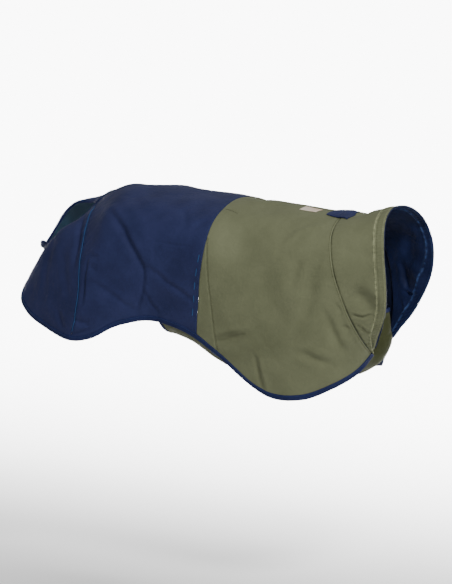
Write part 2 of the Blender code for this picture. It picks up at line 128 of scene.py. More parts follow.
class ChestRow(NamedTuple):
    """One row of the chest panel: its middle, its half width, and how far its edges stand back and up."""

    x: float
    z: float
    half_width: float
    edge_back: float
    edge_up: float


CHEST = (
    # x, z, half_width, edge_back, edge_up
    ChestRow(0.0720, -0.1460, 0.026, 0.0088, 0.000),
    ChestRow(0.0710, -0.1680, 0.034, 0.0145, 0.000),
    ChestRow(0.0684, -0.1890, 0.040, 0.0185, 0.001),
    ChestRow(0.0603, -0.2060, 0.044, 0.0180, 0.003),
    ChestRow(0.0486, -0.2220, 0.047, 0.0145, 0.006),
    ChestRow(0.0320, -0.2370, 0.051, 0.0085, 0.009),
    ChestRow(0.0100, -0.2520, 0.055, 0.0030, 0.012),
    ChestRow(-0.0230, -0.2660, 0.058, 0.0000, 0.013),
    ChestRow(-0.0680, -0.2750, 0.062, 0.0000, 0.014),
    ChestRow(-0.1080, -0.2740, 0.072, 0.0000, 0.018),
    ChestRow(-0.1480, -0.2670, 0.086, 0.0000, 0.026),
    ChestRow(-0.1880, -0.2500, 0.098, 0.0000, 0.0365),
    ChestRow(-0.2280, -0.2265, 0.1046, 0.0000, 0.0385),
    ChestRow(-0.2780, -0.2120, 0.1062, 0.0000, 0.039),
)


def smooth_rows(table: tuple, at: Array) -> Array:
    """Reads a table's columns between its rows, by a smooth cubic through each row and its neighbours.

    Args:
        table: Rows of numbers.
        at: Row numbers, whole or between two rows.

    Returns:
        The columns on a new last axis.
    """
    values = np.array(table, dtype=float)
    last = len(values) - 1
    at = np.clip(at, 0.0, float(last))
    low = np.minimum(at.astype(int), last - 1)
    part = (at - low)[..., None]
    before, start = values[np.maximum(low - 1, 0)], values[low]
    end, after = values[low + 1], values[np.minimum(low + 2, last)]
    square = 2.0 * before - 5.0 * start + 4.0 * end - after
    cube = 3.0 * (start - end) + after - before
    return start + 0.5 * part * (end - before + part * (square + part * cube))


def bezier(first: Array, second: Array, third: Array, fourth: Array, along: Array) -> Array:
    """Points on the cubic curve of four control points, at along from 0 to 1."""
    back = 1.0 - along
    return back**3 * first + along**3 * fourth + 3.0 * back * along * (back * second + along * third)


def unit(vectors: Array) -> Array:
    """The same directions with length 1."""
    return vectors / np.maximum(np.linalg.norm(vectors, axis=-1, keepdims=True), 1e-12)


def smooth_step(value: Array) -> Array:
    """Runs from 0 to 1 with no corner, as 3 v squared less 2 v cubed."""
    value = np.clip(value, 0.0, 1.0)
    return value * value * (3.0 - 2.0 * value)


def bell(value: Array, middle: float | Array, width: float) -> Array:
    """A bell curve: e to the minus square of the distance from the middle over the width."""
    return np.exp(-(((value - middle) / width) ** 2))


def gathered(share: Array, waves: float, seed: float) -> Array:
    """Uneven waves from 0 to 1, as of a gathered seam: a sine whose phase and height wander.

    Args:
        share: The place along the seam, from 0 to 1.
        waves: How many waves there are in all.
        seed: Where the wander starts.

    Returns:
        The height of the waves at each place.
    """
    phase = 2.0 * np.pi * waves * share + 1.3 * np.sin(9.7 * share + seed)
    phase = phase + 0.8 * np.sin(23.1 * share + 2.0 * seed)
    height = 0.62 + 0.38 * np.sin(17.3 * share + 3.1 * seed)
    return height * (0.5 + 0.5 * np.cos(phase))


@dataclass(frozen=True)
class Crease:
    """A soft trough through points of a surface, with a swell beside it. A negative depth is a ridge."""

    path: tuple[tuple[float, float], ...]
    width: float
    depth: float
    swell: float = 0.0
    mirrored: bool = True

    def depth_at(self, points: Array, normals: Array, form: Surface, shift: Triple) -> Array:
        """How far it presses in at each point.

        A bell curve of the distance from the path, less a second bell curve on one side of it, both lower
        toward the path's two ends.

        Args:
            points: Points of the surface.
            normals: Directions square to it.
            form: The surface that the path is given on.
            shift: What is added to the path's first number, what its second is multiplied by, and a share of
                the depth.

        Returns:
            The depth at each point.
        """
        path = np.array(self.path)
        along = np.linspace(0.0, len(path) - 1.0, 4 * len(path))
        first, second = (np.interp(along, np.arange(len(path)), path[:, column]) for column in (0, 1))
        line = form(first + shift[0], second * shift[1])
        nearest = np.full(points.shape[:-1], np.inf)
        side = np.zeros(points.shape[:-1])
        place = np.zeros(points.shape[:-1])
        for number, (start, end) in enumerate(zip(line[:-1], line[1:])):
            run = end - start
            away = points - start
            share = np.clip(away @ run / max(run @ run, 1e-12), 0.0, 1.0)
            across = away - share[..., None] * run
            distance = np.linalg.norm(across, axis=-1)
            closer = distance < nearest
            nearest = np.where(closer, distance, nearest)
            lean = np.einsum("...i,...i", np.cross(run, across), normals)
            side = np.where(closer, np.sign(lean) * distance, side)
            place = np.where(closer, (number + share) / (len(line) - 1), place)
        fade = 0.3 + 0.7 * np.sin(np.pi * np.clip(place, 0.0, 1.0)) ** 0.6
        trough = bell(nearest, 0.0, self.width)
        beside = bell(side, 1.7 * self.width, 1.2 * self.width) * bell(nearest, 0.0, 3.2 * self.width)
        return shift[2] * self.depth * fade * (trough - self.swell * beside)


COAT_CREASES = (
    # The long fold down the flank, its foot, and the folds that leave it
    Crease(((8.90, -0.27), (8.20, -0.44), (7.70, -0.615), (7.38, -0.73)), 0.0056, 0.0044, 0.5),
    Crease(((7.42, -0.70), (7.35, -0.79), (7.38, -0.87), (7.50, -0.94)), 0.0032, 0.0034, 0.5),
    Crease(((7.28, -0.72), (6.78, -0.80), (6.45, -0.824), (6.12, -0.853)), 0.0048, 0.0024, 0.4),
    Crease(((7.36, -0.84), (7.15, -0.917), (6.93, -0.96)), 0.0032, 0.0020, 0.4),
    Crease(((9.30, -0.67), (8.35, -0.817), (7.78, -0.913), (7.50, -0.955)), 0.0048, 0.0017, 0.5),
    # Beside the rump seam
    Crease(((9.55, -0.49), (9.00, -0.567)), 0.0034, 0.0024, 0.4),
    Crease(((9.45, -0.574), (9.00, -0.644)), 0.0036, 0.0022, -0.5),
    Crease(((9.56, -0.50), (9.68, -0.60), (9.71, -0.75)), 0.0030, 0.0028, 0.4),
    Crease(((9.99, -0.85), (9.53, -0.893), (9.10, -0.923)), 0.0042, 0.0044, -0.7),
    Crease(((10.05, -0.955), (9.43, -0.950), (8.85, -0.950)), 0.0036, 0.0030),
    Crease(((10.42, -0.08), (10.55, -0.20), (10.36, -0.33), (10.30, -0.50)), 0.0052, 0.0040, 0.3),
    # Round the thigh and over the loin
    Crease(((11.20, -0.44), (10.80, -0.56), (10.36, -0.74)), 0.0090, 0.0024, 0.3),
    Crease(((11.90, -0.30), (11.75, -0.55), (11.40, -0.82)), 0.0090, 0.0020, 0.3),
    Crease(((10.70, -0.84), (10.40, -0.92)), 0.0060, 0.0024, 0.4),
    Crease(((6.45, -0.42), (6.33, -0.36), (6.20, -0.30)), 0.0050, 0.0022, 0.4),
    Crease(((8.55, -0.10), (8.10, -0.22), (7.70, -0.34)), 0.0100, 0.0018, 0.3),
    Crease(((6.90, -0.24), (6.70, -0.33), (6.60, -0.42)), 0.0060, 0.0014, 0.4),
    # The outline of the covered opening in the flank
    Crease(((7.23, -0.547), (6.78, -0.557), (6.36, -0.547)), 0.0015, 0.0013),
    Crease(((6.38, -0.547), (6.30, -0.670)), 0.0015, 0.0011),
    Crease(((7.23, -0.547), (7.15, -0.697)), 0.0015, 0.0011),
    # Over the shoulder and the upper foreleg
    Crease(((0.98, -0.455), (1.53, -0.547), (2.10, -0.655)), 0.0120, 0.0044, 0.5),
    Crease(((1.02, -0.650), (1.05, -0.747), (0.98, -0.840)), 0.0070, 0.0046, 0.6),
    Crease(((2.55, -0.795), (2.15, -0.834), (1.75, -0.870)), 0.0070, 0.0042, 0.5),
    Crease(((4.13, -0.840), (4.12, -0.903), (4.12, -0.975)), 0.0040, 0.0040, 0.7),
    Crease(((5.46, -0.935), (5.03, -0.853), (4.40, -0.765)), 0.0050, 0.0046, 0.5),
    Crease(((3.35, -0.420), (3.30, -0.550), (3.20, -0.665)), 0.0200, 0.0040),
    Crease(((0.22, -0.650), (0.20, -0.780), (0.20, -0.920)), 0.0045, -0.0022),
    Crease(((0.45, -0.600), (0.32, -0.660)), 0.0024, 0.0016, 0.5),
    Crease(((0.50, -0.720), (0.30, -0.750)), 0.0024, 0.0016, 0.5),
    Crease(((2.38, -0.300), (1.70, -0.207), (0.88, -0.151)), 0.0060, -0.0024),
    Crease(((1.65, -0.370), (2.27, -0.500)), 0.0080, 0.0024, 0.4),
    # The dart beside the navy seam
    Crease(((5.96, -0.150), (5.45, -0.151), (4.90, -0.158)), 0.0013, 0.0012),
    # How the worn coat departs from its cut along the top line and the tail opening
    Crease(((10.3, -0.06), (10.8, -0.09), (11.5, -0.13), (12.2, -0.20)), 0.0220, -0.0055, 0.0, False),
    Crease(((11.8, 0.02), (12.4, 0.02), (13.0, 0.02)), 0.0180, -0.0030, 0.0, False),
    Crease(((8.8, 0.08), (9.6, 0.08), (10.4, 0.08)), 0.0300, -0.0050, 0.0, False),
    Crease(((4.8, 0.18), (6.2, 0.18), (7.8, 0.18)), 0.0420, 0.0036, 0.0, False),
    Crease(((3.2, 0.03), (3.8, 0.03), (4.3, 0.03)), 0.0200, -0.0036, 0.0, False),
)
COLLAR_CREASES = (
    # The hollow low on the side, and the folds that the throat pulls
    Crease(((0.28, -0.57), (0.50, -0.64), (0.62, -0.72)), 0.0160, 0.0085, 0.3),
    Crease(((0.10, -0.685), (0.34, -0.718), (0.62, -0.723)), 0.0026, 0.0034, 0.6),
    Crease(((0.11, -0.750), (0.28, -0.795), (0.45, -0.82)), 0.0028, 0.0022, 0.5),
    # The upper side, and the dents in the far half that show inside the neck
    Crease(((0.20, -0.30), (0.45, -0.36), (0.70, -0.38)), 0.0110, 0.0014, 0.3),
    Crease(((0.55, 0.36), (0.45, 0.50), (0.36, 0.60)), 0.0120, -0.0036, 0.4, False),
    Crease(((0.25, 0.53), (0.30, 0.62), (0.42, 0.69)), 0.0055, -0.0034, 0.5, False),
    # How the worn collar sinks along the spine
    Crease(((0.00, 0.03), (0.25, 0.03), (0.55, 0.03)), 0.0300, 0.0080, 0.0, False),
)
CHEST_CREASES = (
    # The far half swells and the middle of the throat sinks in
    Crease(((1.9, 0.30), (2.8, 0.36), (4.1, 0.38), (5.4, 0.34), (6.4, 0.25)), 0.0240, -0.0130, 0.0, False),
    Crease(((0.3, 0.10), (1.2, -0.10), (2.2, -0.22), (3.0, -0.20), (3.7, -0.08)), 0.0110, 0.0150, 0.0, False),
    # A fold at the throat's foot, and one under the belly
    Crease(((2.90, 0.40), (3.20, 0.42), (3.60, 0.42)), 0.0018, 0.0034, 0.0, False),
    Crease(((8.2, -0.35), (9.6, -0.10), (11.0, 0.15)), 0.0120, 0.0020, 0.3),
)
# A crease as given, and its like on the left: further along, nearer the top line and less deep
RIGHT_SHIFT = (0.0, 1.0, 1.0)
LEFT_SHIFT = (0.18, -0.97, 0.8)
# How the sines of the slack waves run, in radians a metre
SLACK_WAVES = ((61.0, 34.0, -48.0), (-37.0, 71.0, 66.0), (95.0, -52.0, 81.0), (29.0, 88.0, -113.0))


@dataclass(frozen=True)
class Cloth:
    """A curved surface of cloth with its creases."""

    creases: tuple[Crease, ...]
    last: float
    slack: float = 0.0007

    def form(self, along: Array, across: Array) -> Array:
        """Points of the smooth surface."""
        raise NotImplementedError

    def normal(self, along: Array, across: Array) -> Array:
        """Directions square to the surface and outward: the cross product of its two slopes.

        Args:
            along: The first number at each point.
            across: The second number.

        Returns:
            One direction of length 1 for each point.
        """
        across = np.where(np.abs(across) < STEP, STEP, across)
        along = np.clip(along, STEP, self.last - STEP)
        first = self.form(along + STEP, across) - self.form(along - STEP, across)
        second = self.form(along, across + STEP) - self.form(along, across - STEP)
        return unit(np.cross(second, first))

    def hold(self, along: Array) -> Array | float:
        """The share of its depth that a crease has at each row."""
        return 1.0

    def relief(self, points: Array, normals: Array, hold: Array | float) -> Array:
        """How far the cloth stands out at each point: long slack waves of four sines, less the creases.

        Args:
            points: Points of the smooth surface.
            normals: Directions square to it there.
            hold: The share of its creases' depth that the cloth takes at each point.

        Returns:
            The height at each point.
        """
        wave = np.zeros(points.shape[:-1])
        for number, run in enumerate(SLACK_WAVES):
            wave += np.sin(points @ np.array(run) + 1.7 * number) / (1.0 + 0.5 * number)
        stand = self.slack * wave
        for crease in self.creases:
            stand -= hold * crease.depth_at(points, normals, self.form, RIGHT_SHIFT)
            if crease.mirrored:
                stand -= hold * crease.depth_at(points, normals, self.form, LEFT_SHIFT)
        return stand

    def point(self, along: Array, across: Array, off: Array | float = 0.0) -> Array:
        """Points of the creased surface, moved out from it by off."""
        form, normal = self.form(along, across), self.normal(along, across)
        return form + (self.relief(form, normal, self.hold(along)) + off)[..., None] * normal


@dataclass(frozen=True)
class Coat(Cloth):
    """The body of the jacket."""

    creases: tuple[Crease, ...] = COAT_CREASES
    last: float = END_ROW
    left_lift: float = 0.006

    def controls(self, row: Array, side: Array) -> tuple[Array, ...]:
        """The four control points of the sections at these rows, on the side -1 or +1.

        Args:
            row: The row at each point.
            side: -1 or +1 at each point.

        Returns:
            The top's points, those of the two that steer the curve, and the hem's.
        """
        halves = (np.moveaxis(smooth_rows(COAT + rear, row), -1, 0) for rear in (REAR_RIGHT, REAR_LEFT))
        here = Section(*(np.where(side < 0.0, a, b) for a, b in zip(*halves)))
        angle = np.radians(here.turn)
        out = np.stack([-np.sin(angle), side * np.cos(angle), np.zeros_like(angle)], axis=-1)
        top = np.stack([here.x_top, side * here.y_top, here.z_top], axis=-1)
        tilt = smooth_step((row - 1.0) / 1.2) * smooth_step((6.0 - row) / 2.0) - 0.6 * bell(row, 0.9, 0.5)
        z_hem = here.z_hem + np.where(side > 0.0, self.left_lift, 0.0) * tilt
        hem = np.stack([here.x_hem, side * here.y_hem, z_hem], axis=-1)
        none = np.zeros_like(here.reach)
        from_top = top + here.reach[..., None] * out + np.stack([here.lean_top, none, here.lift], axis=-1)
        from_hem = hem + here.flare[..., None] * out + np.stack([here.lean_hem, none, here.rise], axis=-1)
        return top, from_top, from_hem, hem

    def form(self, along: Array, across: Array) -> Array:
        """Points of the smooth coat: a cubic curve from the top line to the hem in each row."""
        side = np.where(across < 0.0, -1.0, 1.0)
        return bezier(*self.controls(along, side), np.abs(across)[..., None])

    def share_of(self, row: Array, side: Array, distance: Array | float, at_hem: bool) -> Array:
        """The part of q that a distance in metres takes up next to the hem, or next to the top.

        Args:
            row: The row at each point.
            side: -1 or +1 at each point.
            distance: In metres, from the hem or from the top.
            at_hem: Whether it is measured from the hem.

        Returns:
            The part of q at each point.
        """
        top, from_top, from_hem, hem = self.controls(row, side)
        arm = hem - from_hem if at_hem else from_top - top
        return distance / (3.0 * np.linalg.norm(arm, axis=-1) + 1e-6)


@dataclass(frozen=True)
class CollarForm(Cloth):
    """The collar, ruled in straight lines from the coat's first section to the curve of its rim."""

    creases: tuple[Crease, ...] = COLLAR_CREASES
    last: float = 1.0
    slack: float = 0.0003
    rim_top: Triple = (0.085, 0.000, 0.022)
    rim_reach: Triple = (0.097, 0.105, 0.022)
    rim_rise: Triple = (0.147, 0.088, -0.130)
    rim_bottom: Triple = (0.0565, 0.0145, -0.2110)
    full_from: float = 0.16

    def hold(self, along: Array) -> Array | float:
        """No depth at the seam, so that the collar's edge stays on the coat's, and all of it further on."""
        return smooth_step(along / self.full_from)

    def form(self, along: Array, across: Array) -> Array:
        """Points of the smooth collar: the seam's point, and v of the way on to the rim's.

        Args:
            along: v at each point.
            across: q at each point.

        Returns:
            The points, one for each v and q.
        """
        side = np.where(across < 0.0, -1.0, 1.0)
        mirror = np.stack([np.ones_like(side), side, np.ones_like(side)], axis=-1)
        seam = COAT_FORM.form(np.zeros_like(across), across)
        corners = (self.rim_top, self.rim_reach, self.rim_rise, self.rim_bottom)
        controls = (np.array(corner) for corner in corners)
        rim = mirror * bezier(*controls, np.abs(across)[..., None])
        high = np.linalg.norm(rim - seam, axis=-1)
        slump = 0.0028 * bell(across, -0.35, 0.30) + 0.0080 * bell(np.abs(across), 0.88, 0.13)
        slump = slump - 0.0080 * bell(across, 0.50, 0.28) + 0.0075 * bell(across, 0.92, 0.08)
        rim = rim - (np.minimum(slump, 0.42 * high) / high)[..., None] * (rim - seam)
        return seam + along[..., None] * (rim - seam)

    def height(self, across: Array) -> Array:
        """How far the rim lies from the seam."""
        rim, seam = self.form(np.ones_like(across), across), self.form(np.zeros_like(across), across)
        return np.linalg.norm(rim - seam, axis=-1)

    def onward(self, across: Array) -> Array:
        """The way that the collar runs at its rim."""
        ones = np.ones_like(across)
        return unit(self.form(ones, across) - self.form(0.9 * ones, across))

    def normal(self, along: Array, across: Array) -> Array:
        """Directions square to the collar and outward. v runs toward the head, so the sign turns."""
        return -super().normal(along, across)


@dataclass(frozen=True)
class ChestForm(Cloth):
    """The panel from the throat between the front legs to the belly."""

    creases: tuple[Crease, ...] = CHEST_CREASES
    last: float = 13.0
    slack: float = 0.0003

    def form(self, along: Array, across: Array) -> Array:
        """Points of the smooth panel: its edges stand back by w squared and up by w to the fourth.

        Args:
            along: The row at each point.
            across: w at each point.

        Returns:
            The points, one for each row and w.
        """
        here = ChestRow(*np.moveaxis(smooth_rows(CHEST, along), -1, 0))
        x = here.x - here.edge_back * across**2
        z = here.z + here.edge_up * across**4
        return np.stack([x, here.half_width * across, z], axis=-1)

    def normal(self, along: Array, across: Array) -> Array:
        """Directions square to the panel and outward, which is down."""
        return -super().normal(along, across)


COAT_FORM = Coat()
COLLAR_FORM = CollarForm()
CHEST_FORM = ChestForm()


def linear(colour: str) -> Colour:
    """Turns an sRGB hex colour into linear red, green, blue and alpha.

    Args:
        colour: # and six hexadecimal digits.

    Returns:
        The four values, each from 0 to 1.
    """
    values = np.array([int(colour[start : start + 2], 16) for start in (1, 3, 5)]) / 255.0
    turned = np.where(values <= 0.04045, values / 12.92, ((values + 0.055) / 1.055) ** 2.4)
    return (*(float(value) for value in turned), 1.0)


def glint(colour: str) -> Colour:
    """Half white and half the hue at full strength, for the light that threads of this colour throw back."""
    values = linear(colour)[:3]
    return (*(0.5 + 0.5 * value / max(values) for value in values), 1.0)


def add_node(
    tree: bpy.types.NodeTree,
    kind: str,
    values: dict | None = None,
    links: dict | None = None,
    **settings: object,
) -> bpy.types.Node:
    """Adds a shader node.

    Args:
        tree: The node tree.
        kind: The node's type, without its ShaderNode prefix.
        values: Socket name or number to constant.
        links: Socket name or number to the socket that feeds it.
        settings: The node's own properties.

    Returns:
        The new node.
    """
    node = tree.nodes.new("ShaderNode" + kind)
    for name, value in settings.items():
        setattr(node, name, value)
    for name, value in (values or {}).items():
        node.inputs[name].default_value = value
    for name, socket in (links or {}).items():
        tree.links.new(socket, node.inputs[name])
    return node


class Grain(Enum):
    """How a cloth's threads lie."""

    PLAIN_WEAVE = "plain weave"
    RIBBED = "ribbed tape"
    SATIN = "satin weave"
    TWISTED = "twisted thread"


@dataclass(frozen=True)
class Finish:
    """A finish of cloth, tape or thread.

    thread is the distance between threads in millimetres, and thread_depth how high they stand. crumple is
    the size of the small hollows that handling leaves, and crumple_depth their depth, in millimetres.
    """

    name: str
    face: str
    shade: str
    roughness: float
    sheen: float
    specular: float
    grain: Grain
    thread: float
    thread_depth: float
    crumple: float
    crumple_depth: float
    # A paler colour mixed in along edges: wear on the seams, painted highlight on the collar's welt and rim
    worn_and_lit: str | None = None

    def threads(self, tree: bpy.types.NodeTree) -> bpy.types.NodeSocket:
        """The height of the threads from 0 to 1.

        A plain weave is the product of two sines across each other, a ribbed tape one sine along its length,
        satin a sine that leans, and a thread a sine at 45 degrees.

        Args:
            tree: The material's node tree.

        Returns:
            The socket of the height.
        """
        place = add_node(tree, "UVMap", uv_map=CLOTH_UV)
        per_metre = 2000.0 * np.pi / self.thread
        turn = {Grain.SATIN: 0.35, Grain.TWISTED: 0.785}.get(self.grain, 0.0)
        scaled = {"Rotation": (0.0, 0.0, turn), "Scale": (per_metre,) * 3}
        turned = add_node(tree, "Mapping", scaled, {"Vector": place.outputs[0]})
        split = add_node(tree, "SeparateXYZ", links={0: turned.outputs[0]})
        made = add_node(tree, "Math", links={0: split.outputs[0]}, operation="SINE")
        if self.grain is Grain.PLAIN_WEAVE:
            other = add_node(tree, "Math", links={0: split.outputs[1]}, operation="SINE")
            both = {0: made.outputs[0], 1: other.outputs[0]}
            made = add_node(tree, "Math", links=both, operation="MULTIPLY")
        height = add_node(tree, "Math", {1: 0.5, 2: 0.5}, {0: made.outputs[0]}, operation="MULTIPLY_ADD")
        return height.outputs[0]

    def build(self) -> bpy.types.Material:
        """Makes the material: colour that drifts softly, edges paled by wear and by painted highlight,
        threads and small hollows.

        Returns:
            The material.
        """
        made = bpy.data.materials.new(self.name)
        made.use_nodes = True
        tree = made.node_tree
        shader = tree.nodes["Principled BSDF"]
        shader.inputs["Roughness"].default_value = self.roughness
        shader.inputs["Specular IOR Level"].default_value = self.specular
        shader.inputs["Sheen Weight"].default_value = self.sheen
        shader.inputs["Sheen Roughness"].default_value = 0.45
        shader.inputs["Sheen Tint"].default_value = linear(self.face)
        shader.inputs["Specular Tint"].default_value = glint(self.face)
        place = add_node(tree, "TexCoord").outputs["Object"]
        drift = add_node(
            tree, "TexNoise", {"Scale": 22.0, "Detail": 4.0, "Roughness": 0.55}, {"Vector": place}
        )
        share = add_node(tree, "MapRange", {1: 0.38, 2: 0.66}, {0: drift.outputs[0]})
        colour = add_node(
            tree, "Mix", {6: linear(self.face), 7: linear(self.shade)}, {0: share.outputs[0]},
            data_type="RGBA",
        ).outputs[2]
        # Paler colour along edges, by the point attribute: wear beside the seams, painted highlight along the
        # collar's welt and rim
        if self.worn_and_lit:
            edge = add_node(tree, "Attribute", attribute_name=EDGE_WEAR_AND_HIGHLIGHT)
            speck = add_node(tree, "TexNoise", {"Scale": 150.0, "Detail": 3.0}, {"Vector": place})
            patch = add_node(tree, "MapRange", {1: 0.40, 2: 0.60}, {0: speck.outputs[0]})
            both = {0: edge.outputs["Fac"], 1: patch.outputs[0]}
            amount = add_node(tree, "Math", links=both, operation="MULTIPLY")
            colour = add_node(
                tree, "Mix", {7: linear(self.worn_and_lit)}, {0: amount.outputs[0], 6: colour}, data_type="RGBA"
            ).outputs[2]
        tree.links.new(colour, shader.inputs["Base Color"])
        deep = {"Strength": 0.6, "Distance": self.thread_depth / 1000.0}
        weave = add_node(tree, "Bump", deep, {"Height": self.threads(tree)})
        soft = {"Detail": 3.0, "Roughness": 0.5, "Distortion": 0.6}
        hollow, fold = (
            add_node(tree, "TexNoise", {"Scale": scale / self.crumple, **soft}, {"Vector": place})
            for scale in (1000.0, 400.0)
        )
        off_middle = add_node(tree, "Math", {1: 0.5}, {0: fold.outputs[0]}, operation="SUBTRACT")
        ridge = add_node(tree, "Math", links={0: off_middle.outputs[0]}, operation="ABSOLUTE")
        both = {0: ridge.outputs[0], 2: hollow.outputs[0]}
        uneven = add_node(tree, "Math", {1: 1.6}, both, operation="MULTIPLY_ADD")
        crumple = add_node(
            tree, "Bump", {"Strength": 1.0, "Distance": self.crumple_depth / 1000.0},
            {"Height": uneven.outputs[0], "Normal": weave.outputs[0]},
        )
        tree.links.new(crumple.outputs[0], shader.inputs["Normal"])
        return made


# Coated polyester shell, woven plain from 0.3 mm threads and coated on its back: a smooth face with a
# low sheen, on which handling leaves small flat hollows. The threads are drawn 0.9 mm apart, as coarse
# as they need to show.
OLIVE_SHELL = Finish(
    name="coated polyester, olive, plain woven",
    face="#5E614A",
    shade="#575A44",
    roughness=0.66,
    sheen=0.02,
    specular=0.16,
    grain=Grain.PLAIN_WEAVE,
    thread=0.9,
    thread_depth=0.05,
    crumple=14.0,
    crumple_depth=0.9,
    # Paler colour for the seams' wear, and painted highlight along the collar's welt and rolled rim
    worn_and_lit="#7C7F63",
)
# The same cloth on the chest panel, drawn darker all over: painted shade, for the throat's hollow inside the
# collar and the underside.
OLIVE_PAINTED_SHADE = replace(
    OLIVE_SHELL, name="coated polyester, olive, painted shade", face="#3A3D27", shade="#333622",
    roughness=0.68, specular=0.14,
)
NAVY_SHELL = replace(
    OLIVE_SHELL, name="coated polyester, navy, plain woven", face="#272C4C", shade="#212643",
    roughness=0.62, specular=0.08, worn_and_lit="#2A3358",
)
# The coating on the back of the cloth: duller than the face, dark navy behind the olive, greener behind
# the navy.
OLIVE_BACK = replace(
    OLIVE_SHELL, name="coated back of the olive cloth", face="#131A30", shade="#0F1528",
    roughness=0.68, sheen=0.0, specular=0.2, thread_depth=0.03, crumple=20.0, crumple_depth=0.4, worn_and_lit=None,
)
NAVY_BACK = replace(
    OLIVE_BACK, name="coated back of the navy cloth", face="#253A4B", shade="#1E3040", roughness=0.62
)
# Smooth lining of fine satin: almost black navy, which catches light in soft streaks; its paler colour along
# the welt and the rim is a painted highlight.
SATIN_LINING = Finish(
    "polyester lining, navy, satin woven", "#1B2342", "#131931", 0.48, 0.03, 0.18,
    Grain.SATIN, 0.8, 0.03, 14.0, 0.9, "#34476E",
)
# Folded woven tape: matt, with fine ribs across it.
EDGE_TAPE = Finish(
    "folded edge tape, navy, ribbed", "#1B2244", "#151B3A", 0.72, 0.03, 0.15,
    Grain.RIBBED, 1.1, 0.10, 9.0, 0.25, "#34406E",
)
# Twisted polyester sewing threads, with a slight gloss: navy and olive, a little paler than their cloth.
NAVY_THREAD = Finish(
    "polyester sewing thread, navy", "#202C54", "#1B2648", 0.5, 0.05, 0.3, Grain.TWISTED, 0.5, 0.05, 6.0, 0.1
)
OLIVE_THREAD = replace(NAVY_THREAD, name="polyester sewing thread, olive", face="#8A8C6E", shade="#7F8164")
# The thread along the olive seams, drawn darker than its cloth: painted shade for the groove that it sinks
# into.
SHADED_THREAD = replace(
    NAVY_THREAD, name="polyester sewing thread, olive, painted shade", face="#33351F", shade="#2C2E1B", roughness=0.55,
    specular=0.2,
)
# Narrow reflective piping and thread: grey blue, drawn paler than the navy as a painted highlight for their
# glint.
REFLECTIVE = Finish(
    "reflective piping, blue grey, painted highlight", "#2A4A76", "#223E64", 0.50, 0.0, 0.15, Grain.TWISTED, 0.7, 0.05, 5.0, 0.1
)
# A woven label, plain but for its weave.
WOVEN_LABEL = Finish(
    "woven label, off-white satin", "#C9BFB0", "#BFA389", 0.55, 0.1, 0.3, Grain.SATIN, 0.7, 0.04, 8.0, 0.2
)
# The face and the back of the coat's two cloths
OLIVE = (OLIVE_SHELL, OLIVE_BACK)
NAVY = (NAVY_SHELL, NAVY_BACK)


class Held(Enum):
    """How a sheet is held."""

    DRAPED = "draped"
    HUNG = "hung"
    LAID = "laid"


class Cut(NamedTuple):
    """What a sheet was cut to, how it is held and on what, and its area where it isn't a rectangle."""

    flat: tuple[float, float]
    held: Held
    on: str
    area: float | None = None


